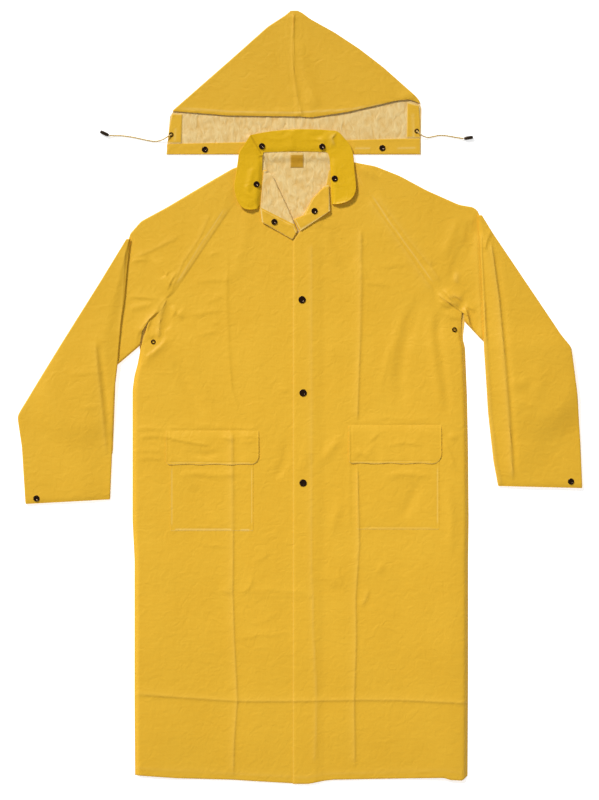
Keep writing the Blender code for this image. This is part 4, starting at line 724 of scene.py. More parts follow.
@dataclass(frozen=True)
class Lacquer:
    """Brass stamped thin and lacquered: a smooth gloss over it, worn a little at the rim."""

    name: str
    colour: str
    worn: str
    metallic: float
    roughness: float
    tint: str = "#ecc8a4"     # old lacquer turns its highlights brown
    specks: float = 900.0     # to the metre: specks of wear about a millimetre across

    def make(self) -> bpy.types.Material:
        """Build the material: the lacquer's colour with specks of wear, and a soft orange peel.

        Returns:
            The material.
        """
        made, tree = blank(self.name)
        spot = node(tree, "TexCoord").outputs["Object"]
        specks = node(tree, "TexNoise", None,
                      {"Vector": spot, "Scale": self.specks, "Detail": 3.0}).outputs[0]
        share = node(tree, "MapRange", None,
                     {0: specks, 1: 0.6, 2: 0.75, 3: 0.0, 4: 0.35}).outputs[0]
        tone = node(tree, "Mix", {"data_type": "RGBA"},
                    {0: share, 6: linear(self.colour), 7: linear(self.worn)}).outputs[2]
        bump = node(tree, "Bump", None, {"Height": specks, "Distance": 0.02 * MM}).outputs[0]
        shader = node(tree, "BsdfPrincipled", None, {
            "Base Color": tone, "Roughness": self.roughness, "Metallic": self.metallic, "Normal": bump,
            "Specular IOR Level": 0.45, "Specular Tint": linear(self.tint)})
        node(tree, "OutputMaterial", None, {"Surface": shader.outputs[0]})
        return made


@dataclass(frozen=True)
class BraidedString:
    """Cotton drawstring, braided round: a dull cream with a slanted rib from its strands."""

    name: str = "braided_cotton_cream"
    colour: str = "#ead089"
    # deep: painted shade in the grooves between the strands
    deep: str = "#b98f3c"
    strand_mm: float = 2.4
    strand_height: float = 0.25

    def make(self) -> bpy.types.Material:
        """Build the material: slanted strands along the cord's own UV map in the bump, and in the colour as
        painted shade in the grooves between them.

        Returns:
            The material.
        """
        made, tree = blank(self.name)
        uv = node(tree, "UVMap", {"uv_map": "weave"}).outputs[0]
        strands = node(tree, "TexWave", {"bands_direction": "DIAGONAL"},
                       {"Vector": uv, "Scale": BANDS / (self.strand_mm * MM), "Distortion": 0.8}).outputs[1]
        # painted shade: the colour goes deep where the strands' bump is low, in the grooves
        tone = node(tree, "Mix", {"data_type": "RGBA"},
                    {0: strands, 6: linear(self.deep), 7: linear(self.colour)}).outputs[2]
        bump = node(tree, "Bump", None,
                    {"Height": strands, "Distance": self.strand_height * MM}).outputs[0]
        shader = node(tree, "BsdfPrincipled", None, {
            "Base Color": tone, "Roughness": 0.85, "Normal": bump, "Sheen Weight": 0.3})
        node(tree, "OutputMaterial", None, {"Surface": shader.outputs[0]})
        return made


class Wardrobe:
    """Every finish of the coat, each material made once."""

    def __init__(self) -> None:
        """Make the materials."""
        self.outside = CoatedCloth().make()
        self.collar = CoatedCloth("pvc_coated_cotton_collar", "#e7b612", "#e2b00e", roughness=0.42).make()
        self.label = CoatedCloth("pvc_film_label", "#cd9826", "#c69120", roughness=0.55,
                                 print_height=0.03).make()
        self.lining = Lining().make()
        self.snap = Lacquer("black_lacquered_brass", "#1c0d08", "#2e1c10", 0.0, 0.12).make()
        self.eyelet = Lacquer("dark_brass", "#4a3218", "#8a6a34", 0.9, 0.35).make()
        self.tip = Lacquer("dark_cord_end", "#2a2118", "#b9ae98", 0.2, 0.3).make()
        self.string = BraidedString().make()


# ---- pieces -------------------------------------------------------------------------------

@dataclass(frozen=True)
class Cut:
    """What a piece was cut to: width and length in metres, its flat area, and how it is held."""

    width: float
    length: float
    area: float | None = None
    held: str = "laid"
    rests_on: tuple[str, ...] = ()


def add_mesh(name: str, points: np.ndarray, faces: np.ndarray, uv: np.ndarray, pale: np.ndarray,
             finish: np.ndarray, materials: list[bpy.types.Material]) -> bpy.types.Object:
    """Put a mesh of quads into the scene.

    Args:
        name: the piece's name.
        points: points in metres, one row each.
        faces: quads, or triangles as quads whose last two corners are the same.
        uv: pattern place of each point.
        pale: how pale each point is.
        finish: material number of each face.
        materials: those materials.

    Returns:
        The new object, its faces turned outwards by the sign of its volume.
    """
    corners = points[faces]
    volume = np.einsum("ij,ij->i", corners[:, 0], np.cross(corners[:, 1], corners[:, 2])).sum()
    volume += np.einsum("ij,ij->i", corners[:, 0], np.cross(corners[:, 2], corners[:, 3])).sum()
    if volume < 0:
        faces = faces[:, ::-1]
    used, numbers = np.unique(faces, return_inverse=True)
    numbers = numbers.reshape(faces.shape)
    mesh = bpy.data.meshes.new(name)
    mesh.from_pydata(points[used].tolist(), [], [list(dict.fromkeys(face)) for face in numbers.tolist()])
    for material in materials:
        mesh.materials.append(material)
    mesh.polygons.foreach_set("material_index", finish.astype(np.int32))
    mesh.attributes.new("pale", "FLOAT", "POINT").data.foreach_set("value", pale[used].astype(np.float32))
    corner_points = np.empty(len(mesh.loops), dtype=np.int32)
    mesh.loops.foreach_get("vertex_index", corner_points)
    corner_uv = uv[used][corner_points].astype(np.float32)
    mesh.uv_layers.new(name="weave").data.foreach_set("uv", corner_uv.ravel())
    mesh.shade_smooth()
    mesh.set_sharp_from_angle(angle=math.radians(42))
    mesh.update()
    made = bpy.data.objects.new(name, mesh)
    bpy.context.scene.collection.objects.link(made)
    return made


def ring_quads(below: np.ndarray, above: np.ndarray) -> np.ndarray:
    """Quads between rows of point numbers, each row joined round to its own start."""
    quads = np.stack([below, np.roll(below, -1, axis=1), np.roll(above, -1, axis=1), above], axis=2)
    return quads.reshape(-1, 4)


def settle(piece: bpy.types.Object, replaced: str) -> bpy.types.Object:
    """Ride a piece on the coat's body in place of its CAD node, and report it.

    Args:
        piece: the piece.
        replaced: the CAD node it stands for.

    Returns:
        The same piece.
    """
    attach(piece, "root")
    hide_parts(replaced)
    LOG.info("%s: %d faces", piece.name, len(piece.data.polygons))
    return piece


@dataclass
class Cloth:
    """Makes the thin closed shells that every piece of cloth is."""

    wardrobe: Wardrobe
    made: list[str] = field(default_factory=list)
    off_ground: tuple[float, float] = (1.0, 1.6)     # heights over which the creases turn pale

    def shell(self, name: str, under: np.ndarray, over: np.ndarray, cut: Cut, *, ring: bool = False,
              cells: np.ndarray | None = None, coated: np.ndarray | None = None,
              edge_pale: float | np.ndarray = 0.35, grain: float = 0.0, lining_up: bool = False,
              both: bool = False, material: bpy.types.Material | None = None,
              slot: str = "yellow_coated_cloth") -> bpy.types.Object:
        """A closed shell between two grids of points, with a rim wherever its cells end.

        Args:
            name: the CAD node it stands for.
            under: points in mm of the lower or inner skin.
            over: points in mm of the upper or outer skin.
            cut: what the piece was cut to; not used.
            ring: the last column is joined to the first, and the last row to itself, shut.
            cells: which cells of the grid are there.
            coated: cells whose inner face is coated as well, at a facing or a seam allowance.
            edge_pale: how pale the raw edges are, one number or one for each point of the grid.
            grain: angle of the cloth's grain in degrees from X.
            lining_up: the upper skin is the lining and the lower one is coated.
            both: both skins are coated.
            material: the coated face's material, if it isn't the coat's own.
            slot: a material slot's name; not used.

        Returns:
            The piece, riding on the coat.
        """
        rows, cols = under.shape[:2]
        spans = cols if ring else cols - 1
        layer = rows * cols
        number = np.arange(layer).reshape(rows, cols)
        if ring:
            number[-1] = number[-1][np.minimum(np.arange(cols), (cols - np.arange(cols)) % cols)]
        there = np.ones((rows - 1, spans), dtype=bool) if cells is None else cells
        i, j = np.nonzero(there)
        k = (j + 1) % cols
        quads = np.stack([number[i, j], number[i, k], number[i + 1, k], number[i + 1, j]], axis=1)
        edges = np.stack([quads, np.roll(quads, -1, axis=1)], axis=2).reshape(-1, 2)
        key, first, uses = np.unique(np.sort(edges, axis=1), axis=0, return_index=True, return_counts=True)
        rim = edges[first[(uses == 1) & (key[:, 0] != key[:, 1])]]
        rims = np.stack([rim[:, 1], rim[:, 0], rim[:, 0] + layer, rim[:, 1] + layer], axis=1)
        faces = np.concatenate([quads[:, ::-1], quads + layer, rims])
        on_edge = np.zeros(layer)
        on_edge[rim.ravel()] = 1.0
        points = np.concatenate([under.reshape(-1, 3), over.reshape(-1, 3)])
        points[layer:] -= 0.5 * (points[layer:] - points[:layer]) * on_edge[:, None]   # thinner at its rim
        x, y = points[:, 0], points[:, 1]
        low, high = self.off_ground
        marked = RELIEF.pale(x, y) * eased((points[:, 2] - low) / (high - low))
        pale = np.maximum(marked, np.tile(on_edge * np.ravel(edge_pale), 2))
        turn = math.radians(grain)
        along, across = math.cos(turn), math.sin(turn)
        uv = np.column_stack([x * along + y * across, y * along - x * across]) * MM
        coat = material or self.wardrobe.outside
        inner = 0 if both else 1
        skins = (0, inner) if lining_up else (inner, 0)
        two_faced = np.zeros(len(quads), dtype=bool) if coated is None else coated[i, j]
        finish = np.concatenate([*(np.where(two_faced, 0, skin) for skin in skins),
                                 np.zeros(len(rims), dtype=int)])
        piece = add_mesh(name + "_cloth", points * MM, faces, uv, pale, finish, [coat, self.wardrobe.lining])
        settle(piece, name)
        self.made.append(piece.name)
        return piece

    def flat_sheet(self, name: str, xy: np.ndarray, z: np.ndarray, thickness: float | np.ndarray, cut: Cut,
                   **looks: Any) -> bpy.types.Object:
        """A sheet lying on what is under it: z plus the coat's relief, and its thickness above that.

        Args:
            name: the CAD node it stands for.
            xy: the sheet's grid in mm.
            z: height of its underside in mm, without the relief.
            thickness: its thickness in mm.
            cut: what it was cut to.
            looks: what else shell takes.

        Returns:
            The piece, riding on the coat.
        """
        low = z + RELIEF.height(xy[..., 0], xy[..., 1])
        over = np.dstack([xy, low + thickness])
        return self.shell(name, np.dstack([xy, low]), over, cut, both=True, **looks)


@dataclass(frozen=True)
class Patch:
    """A pocket's or a flap's outline in mm: its box, and the radii of its two lower corners."""

    low_x: float
    high_x: float
    low_y: float
    high_y: float
    left: float
    right: float

    def plan(self) -> np.ndarray:
        """XY of the patch, close together at its welds.

        Returns:
            Straight columns whose feet follow the quarter circles of the two lower corners.
        """
        start, stop = self.low_x + self.left, self.high_x - self.right
        near = np.arange(1, 8, 1.5)
        x = np.unique(np.concatenate([self.low_x + self.left * (1 - np.cos(np.linspace(0, np.pi / 2, 7))),
                                      start + near, stop - near, np.arange(start, stop, SPACING),
                                      self.high_x - self.right * (1 - np.cos(np.linspace(0, np.pi / 2, 9)))]))
        foot = np.full(len(x), self.low_y, dtype=float)
        for reach, radius in ((x - self.low_x, self.left), (self.high_x - x, self.right)):
            foot += radius * (1 - np.sqrt(1 - np.clip(1 - reach / radius, 0, 1) ** 2))
        tall = self.high_y - self.low_y
        near = np.arange(0, 8, 1.3) / tall
        inner = np.linspace(near[-1] + 0.015, 0.985, int(tall / SPACING))
        share = np.concatenate([near, inner, [1.0]])[:, None]
        y = foot[None] * (1 - share) + self.high_y * share
        return np.dstack([np.repeat(x[None], len(share), axis=0), y])

    def wall(self, xy: np.ndarray) -> np.ndarray:
        """Thickness of a flap: 0.9 mm, half of that in the groove of its weld, 4 mm inside its edges."""
        across = np.minimum(xy[..., 0] - self.low_x, self.high_x - xy[..., 0])
        return 0.9 - 0.45 * np.exp(-((np.minimum(across, xy[..., 1] - self.low_y) - 4) / 1.4) ** 2)


SIDE_EDGE = {    # from the hem to the armpit
    Side.LEFT: ((-321, -735), (-322, -585), (-322, -317), (-326, -239), (-326, 14), (-322, 43),
                (-317, 60), (-310, 95), (-300, 127)),
    Side.RIGHT: ((326, -735), (327, -540), (327, -317), (328, -239), (327, -105), (325, 0),
                 (321, 97), (314.5, 120), (313.5, 144), (315, 172)),
}
FRONT_SEAM = {   # edge of the front under the sleeve, from the armpit to the neck
    Side.LEFT: ((-300, 127), (-294, 148), (-284, 172), (-272, 192), (-256, 222), (-204, 299),
                (-146, 385), (-132, 410), (-128, 441)),
    Side.RIGHT: ((315, 172), (307, 184), (295, 199), (286, 216), (255, 264), (214, 315),
                 (150, 406), (130, 428), (108, 441)),
}
RAGLAN = {       # raw edge of the sleeve, from the neck to the armpit
    Side.LEFT: ((-109, 451), (-111, 412), (-126, 376), (-185, 290), (-240, 207), (-257, 191),
                (-270, 167), (-280, 161), (-297, 143), (-307, 128), (-312, 99)),
    Side.RIGHT: ((89, 455), (113, 432), (130, 402), (194, 305), (234, 254), (272, 193),
                 (286, 187.5), (299, 180), (309, 175), (317.5, 166), (320, 146)),
}


@dataclass
class Body:
    """Back, fronts with their corners turned back, facings, pockets, flaps and label."""

    cloth: Cloth
    lap_edge: float = 27.0          # the right front starts to come down off the left one's edge here
    lap_foot: float = 49.0          # and lies flat from here
    corner_lift: float = 3.0        # how far a turned corner springs up
    fold_roll: dict = per_side(2.6, 0.0)        # the left corner's fold isn't pressed
    neck: tuple = (-84, 64)         # the back's columns are close together between these
    back_edge: dict = per_side(
        ((-314.2, -735), (-315.2, -585), (-315.2, -317), (-319.2, -239), (-319.2, 14), (-315.2, 43),
         (-313, 60), (-311, 88), (-313, 104), (-312, 118), (-309, 130), (-302, 140), (-297, 147),
         (-278, 163), (-268.4, 168.7), (-255.2, 191.7), (-239, 207.4), (-184.7, 289.3), (-126.8, 373.7),
         (-111.1, 411.5), (-108, 451), (-103, 457), (-98, 468), (-94, 477)),
        ((319.2, -735), (320.2, -540), (320.2, -317), (321.2, -239), (320.2, -105), (318.2, 0), (318, 97),
         (317, 120), (319.5, 136), (320.5, 150), (318, 166), (309, 175), (299, 181), (277, 191),
         (267, 199.8), (229.7, 258.4), (191.2, 308.1), (130.2, 400.5), (112.6, 430.4), (90.9, 452.2),
         (84, 457), (80, 468), (76, 477)))
    back_drop: Run = ((-322, 0), (-134, 5), (-14, 13), (16, 13), (65, 5), (327, 0))   # x, and the hem's fall
    hem_drop: dict = per_side(
        ((-322, 0), (-238, 6), (-134, 9), (-15, 16), (25, 16)),
        ((-14, 17), (16, 17), (47, 11), (65, 9), (279, 5), (293, 9), (315, 10), (327, 1)))
    centre: dict = per_side(
        ((25, -735), (25, 262), (-4, 318), (-6.5, 321)),
        ((-14, -735), (-14, 300), (-13.5, 305), (-3.5, 319.5), (0.5, 322.5)))
    corner: dict = per_side(        # rows of a turned corner: x and y at its fold, x and y at the neck edge
        ((-6.5, 321, -74, 340), (-11, 331, -77, 365), (-24, 362, -75.5, 385), (-39, 394, -74, 404),
         (-54, 426, -71.5, 428), (-63, 439, -70.5, 439)),
        ((0.5, 322.5, 58, 361), (-11.5, 344.5, 57.8, 366), (8, 352.5, 57.6, 375), (15.5, 367, 57.4, 384),
         (25, 385, 57, 394), (51, 410, 56, 412)))
    tip: dict = per_side((-14.8, 306), (12, 330))
    neck_end: dict = per_side((-66, 441), (56, 441))
    corner_base: dict = per_side(2 * PITCH, 3 * PITCH)
    facing_rows: dict = per_side(2, 6)
    facing_cut: dict = per_side(Cut(0.075, 0.045, 0.0017, rests_on=("front_left_cloth",)),
                                Cut(0.075, 0.085, 0.0026, rests_on=("front_right_cloth",)))
    long_fold: dict = per_side((186, 322), (206, 275))   # from the side: pressed fold, last even column
    fold_columns: dict = per_side(10, 21)
    pockets: dict = per_side(Patch(-252, -91, -260, -107, 3, 3), Patch(110, 270, -257, -103, 3, 3))
    flaps: dict = per_side(Patch(-260, -80, -131, -65, 8, 17), Patch(95, 274.9, -129, -54, 8, 19))
    weld_gap: float = 0.1           # between a pocket or flap and its front

    def build(self) -> None:
        """Make every piece of the body, from the ground up."""
        self.back()
        self.label()
        for side in Side:
            self.front(side)
            self.facing(side)
            self.pocket(side)
            self.flap(side)

    @staticmethod
    def climb(y: np.ndarray) -> np.ndarray:
        """Height of the back's underside: flat, then up over the hood's neck edge."""
        return 2 * PITCH * eased((y - 454) / 14)

    @staticmethod
    def over_sleeve(x: np.ndarray, y: np.ndarray) -> np.ndarray:
        """The back is lifted 0.2 mm where it lies on the end of the right sleeve."""
        return 0.2 * eased((x - 280) / 10) * eased((y - 125) / 15) * eased((220 - y) / 15)

    def back(self) -> None:
        """The back: rows between its two side edges, flat below, its lining rippled in the neck."""
        y = np.concatenate([np.arange(-735, 320, 9.0), np.arange(322, 477, SPACING), [477.0]])
        low, high = (x_at(self.back_edge[side], y)[:, None] for side in Side)
        first, last = self.neck
        outer = np.linspace(0, 1, 15)[:-1]
        middle = first + (last - first) * np.linspace(0, 1, 50) + 0 * low
        x = np.concatenate([low + (first - low) * outer, middle, high + (last - high) * outer[::-1]], axis=1)
        y = np.repeat(y[:, None], x.shape[1], axis=1)
        y -= np.interp(x[0], *np.array(self.back_drop, dtype=float).T) * eased((-700 - y) / 35)
        foot = self.climb(y) + self.over_sleeve(x, y)
        in_neck = RELIEF.height(x, y) * RELIEF.weight(x, y, (-100, 75, 318, 474), 24)
        rise = np.where(foot > 0, RELIEF.height(x, y), in_neck) * eased((y - 300) / 20)
        coated = np.zeros((len(x) - 1, x.shape[1] - 1), dtype=bool)
        coated[:, :4] = coated[:, -4:] = True          # the seam allowances at both sides
        self.cloth.shell("back", np.dstack([x, y, foot + rise * eased(foot / 2)]),
                         np.dstack([x, y, foot + rise + CLOTH]), Cut(0.655, 1.23, 0.685), lining_up=True,
                         coated=coated)

    def label(self) -> None:
        """The bare patch inside the back of the neck."""
        x, y = np.meshgrid(np.linspace(-18.6, 6.4, 12), np.linspace(446, 474, 14))
        self.cloth.flat_sheet("label", np.dstack([x, y]), self.climb(y) + PITCH, 1.0,
                              Cut(0.025, 0.028, rests_on=("back_cloth",)), material=self.cloth.wardrobe.label,
                              slot="yellow_label", edge_pale=0.2)

    def corner_height(self, side: Side, row: np.ndarray, share: np.ndarray) -> np.ndarray:
        """Height of the underside of a turned corner.

        Args:
            side: which front.
            row: how far up the corner, counted in its rows.
            share: how far from the fold to the neck edge, from 0 to 1.

        Returns:
            Its lie on the front, plus the roll of the fold, plus the spring of the free end.
        """
        spring = self.corner_lift * (1 - row / (len(self.corner[side]) - 1))
        roll = self.fold_roll[side] * (1 - share) ** 5 * (1 - eased(row - 4))
        sprung = np.interp(share, [0, 0.21, 0.6, 1], [0, 0.1, 0.35, 1.0])
        return self.corner_base[side] + roll + spring * sprung

    def corner_plan(self, side: Side, row: np.ndarray, share: np.ndarray) -> np.ndarray:
        """XY of the turned corner, straight between its knots.

        Args:
            side: which front.
            row: how far up the corner, counted in its rows.
            share: how far from the fold to the neck edge, from 0 to 1.

        Returns:
            The points; the first row is bent at the corner's tip, which fades out by the next.
        """
        knots = np.array(self.corner[side], dtype=float)
        tip = np.array(self.tip[side], dtype=float)
        at = np.clip(row, 0, len(knots) - 1)
        fold = np.stack([np.interp(at, np.arange(len(knots)), knots[:, k]) for k in (0, 1)], axis=-1)
        neck = np.stack([np.interp(at, np.arange(len(knots)), knots[:, k]) for k in (2, 3)], axis=-1)
        plan = fold + (neck - fold) * share[..., None]
        first_fold, first_neck = knots[0, :2], knots[0, 2:]
        spans = np.hypot(*(tip - first_fold)), np.hypot(*(first_neck - tip))
        bend = spans[0] / sum(spans)
        edge = np.where(share[..., None] < bend, first_fold + (tip - first_fold) * (share / bend)[..., None],
                        tip + (first_neck - tip) * ((share - bend) / (1 - bend))[..., None])
        straight = first_fold + (first_neck - first_fold) * share[..., None]
        return plan + (edge - straight) * np.clip(1 - at, 0, 1)[..., None]

    def lapped(self, side: Side, x: np.ndarray) -> np.ndarray:
        """How far the right front is lifted by the left one's edge under it, and 0 for the left."""
        lift = PITCH * eased((self.lap_foot - x) / (self.lap_foot - self.lap_edge))
        return lift if side is Side.RIGHT else 0.0 * x

    def panel_height(self, side: Side, x: np.ndarray, y: np.ndarray, inward: np.ndarray) -> np.ndarray:
        """Height of a front's underside.

        Args:
            side: which front.
            x, y: the points.
            inward: their distance in from the side edge.

        Returns:
            One layer up plus the relief, rounded down over the last 9 mm at its side, and lapped.
        """
        body = eased((SIDE_EDGE[side][-1][1] - 12 - y) / 50)
        wrap = body * (1 - eased(inward / 9))
        return PITCH * (1 - wrap) + RELIEF.height(x, y) * (1 - wrap) + self.lapped(side, x)

    def front(self, side: Side) -> None:
        """A front in one shell: its panel, the bead of the fold and the corner turned back on it.

        Each row runs from the side edge to the centre edge, round the bead in a half circle
        and over the turned corner. Rows below and above the corner end at the centre edge.

        Args:
            side: which front.
        """
        knots = np.array(self.corner[side], dtype=float)
        body_rows = np.concatenate([[-735, -734], np.arange(-731, -597, 3.4), np.arange(-597, -579, 1.8),
                                    np.arange(-579, knots[0, 1] - 1.5, 3.4)])
        turned = np.linspace(0, len(knots) - 1, 44)
        turned_y = np.interp(turned, np.arange(len(knots)), knots[:, 1])
        turned_x = np.interp(turned, np.arange(len(knots)), knots[:, 0])
        y = np.concatenate([body_rows, turned_y, [self.neck_end[side][1]]])
        centre = np.concatenate([x_at(self.centre[side], body_rows), turned_x, [self.neck_end[side][0]]])
        row = np.concatenate([np.zeros(len(body_rows)), turned, [0.0]])
        is_turned = np.concatenate([np.zeros(len(body_rows), bool), np.ones(len(turned), bool), [False]])
        top = SIDE_EDGE[side][-1][1]
        edge = np.where(y <= top, x_at(SIDE_EDGE[side], y), x_at(FRONT_SEAM[side], y))
        sign = side.inward
        full = abs(centre[0] - (self.lap_foot if sign < 0 else 0.0))
        anchor = centre - sign * np.interp(y, [225, 300], [full, 20])
        press, last = self.long_fold[side]
        near = np.concatenate([[0, 0.8, 3, 5, 6.5, 9, 12, 16, 20, 24], np.arange(27, press, SPACING),
                               np.arange(press, press + 18, SPACING / 2),
                               np.arange(press + 18, last - 1, SPACING), [last]])
        far = np.concatenate([np.linspace(0, 0.95, self.fold_columns[side])[1:], [1.0]])
        x = np.concatenate([edge[:, None] + (anchor - edge)[:, None] * (near / near[-1]),
                            anchor[:, None] + (centre - anchor)[:, None] * far], axis=1)
        yy = np.repeat(y[:, None], x.shape[1], axis=1)
        inward = np.abs(x - edge[:, None])
        drop = np.interp(x[0], *np.array(self.hem_drop[side], dtype=float).T)
        yy = yy - drop * eased((-690 - yy) / 45)
        z = self.panel_height(side, x, yy, inward)
        heading = unit(np.gradient(np.column_stack([centre, y]), axis=0))
        away = np.column_stack([heading[:, 1], -heading[:, 0]]) * sign
        bend = np.radians(np.linspace(-90, 90, 9)[1:-1])
        share = np.linspace(0, 1, 28)
        plan = self.corner_plan(side, row[:, None] + 0 * share, share + 0 * row[:, None])
        level = self.corner_height(side, row[:, None], share + 0 * row[:, None])
        level = level + RELIEF.height(plan[..., 0], plan[..., 1])
        skins = []
        from_edge = np.abs(x - centre[:, None]) + 99 * is_turned[:, None]
        wall = CLOTH * (0.3 + 0.7 * eased(from_edge / 4))          # the welded edge is pressed thin
        for face, turn in ((z, level + CLOTH), (z + wall, level)):
            radius = (turn[:, 0] - face[:, -1]) / 2
            reach = radius[:, None] * np.cos(bend)
            bead = np.dstack([centre[:, None] + away[:, :1] * reach, y[:, None] + away[:, 1:] * reach,
                              face[:, -1:] + radius[:, None] * (1 + np.sin(bend))])
            skins.append(np.concatenate([np.dstack([x, yy, face]), bead, np.dstack([plan, turn])], axis=1))
        cells = np.ones((len(y) - 1, skins[0].shape[1] - 1), dtype=bool)
        cells[~(is_turned[:-1] & is_turned[1:]), x.shape[1] - 1:] = False
        coated = np.repeat((row < self.facing_rows[side] - 0.9)[:-1, None], cells.shape[1], axis=1)
        pale = np.full(skins[0].shape[:2], 0.12)
        pale[:, x.shape[1] + len(bend):] = 0.9
        self.cloth.shell("front_" + side.value, skins[0], skins[1],
                         Cut(0.36, 1.18, 0.375, rests_on=("back_cloth",)), cells=cells, coated=coated,
                         edge_pale=pale)

    def facing(self, side: Side) -> None:
        """The strip welded inside a front edge, on the turned corner."""
        rows, share = np.meshgrid(np.linspace(0, self.facing_rows[side] - 1, 26),
                                  np.linspace(0.02, 0.985, 30), indexing="ij")
        height = self.corner_height(side, rows, share) + PITCH
        self.cloth.flat_sheet("facing_" + side.value, self.corner_plan(side, rows, share), height, 1.0,
                              self.facing_cut[side], edge_pale=0.8)

    def top_of(self, side: Side, x: np.ndarray) -> np.ndarray:
        """Height of a front's upper face, without the relief."""
        return PITCH + CLOTH + self.lapped(side, x)

    def pocket(self, side: Side) -> None:
        """A patch pocket, welded to its front on three sides, half as thick as a flap."""
        patch = self.pockets[side]
        xy = patch.plan()
        self.cloth.flat_sheet("pocket_" + side.value, xy, self.top_of(side, xy[..., 0]) + self.weld_gap,
                              patch.wall(xy) / 2,
                              Cut(0.161, 0.153, rests_on=("front_%s_cloth" % side.value,)), edge_pale=0.55)

    def flap(self, side: Side) -> None:
        """A pocket flap over the pocket's mouth: thin at its weld, its free edge springing and waved."""
        patch = self.flaps[side]
        xy = patch.plan()
        over_pocket = 0.9 * eased((patch.high_y - xy[..., 1] - 2) / 12)
        low = np.clip((patch.high_y - 16 - xy[..., 1]) / 50, 0, 1)
        spring = low * (0.15 + 0.5 * np.sin(xy[..., 0] / 9.5) ** 2)
        xy[..., 1] += low ** 3 * 0.8 * np.sin(xy[..., 0] / 9.0 + 1)
        free = eased((patch.high_y - xy[..., 1]) / 4)
        height = self.top_of(side, xy[..., 0]) + self.weld_gap + over_pocket + spring
        self.cloth.flat_sheet("pocket_flap_" + side.value, xy, height, patch.wall(xy) * (0.1 + 0.9 * free),
                              Cut(0.18, 0.07, rests_on=tuple(name % side.value for name in (
                                  "front_%s_cloth", "pocket_%s_cloth"))), edge_pale=0.55 * free)


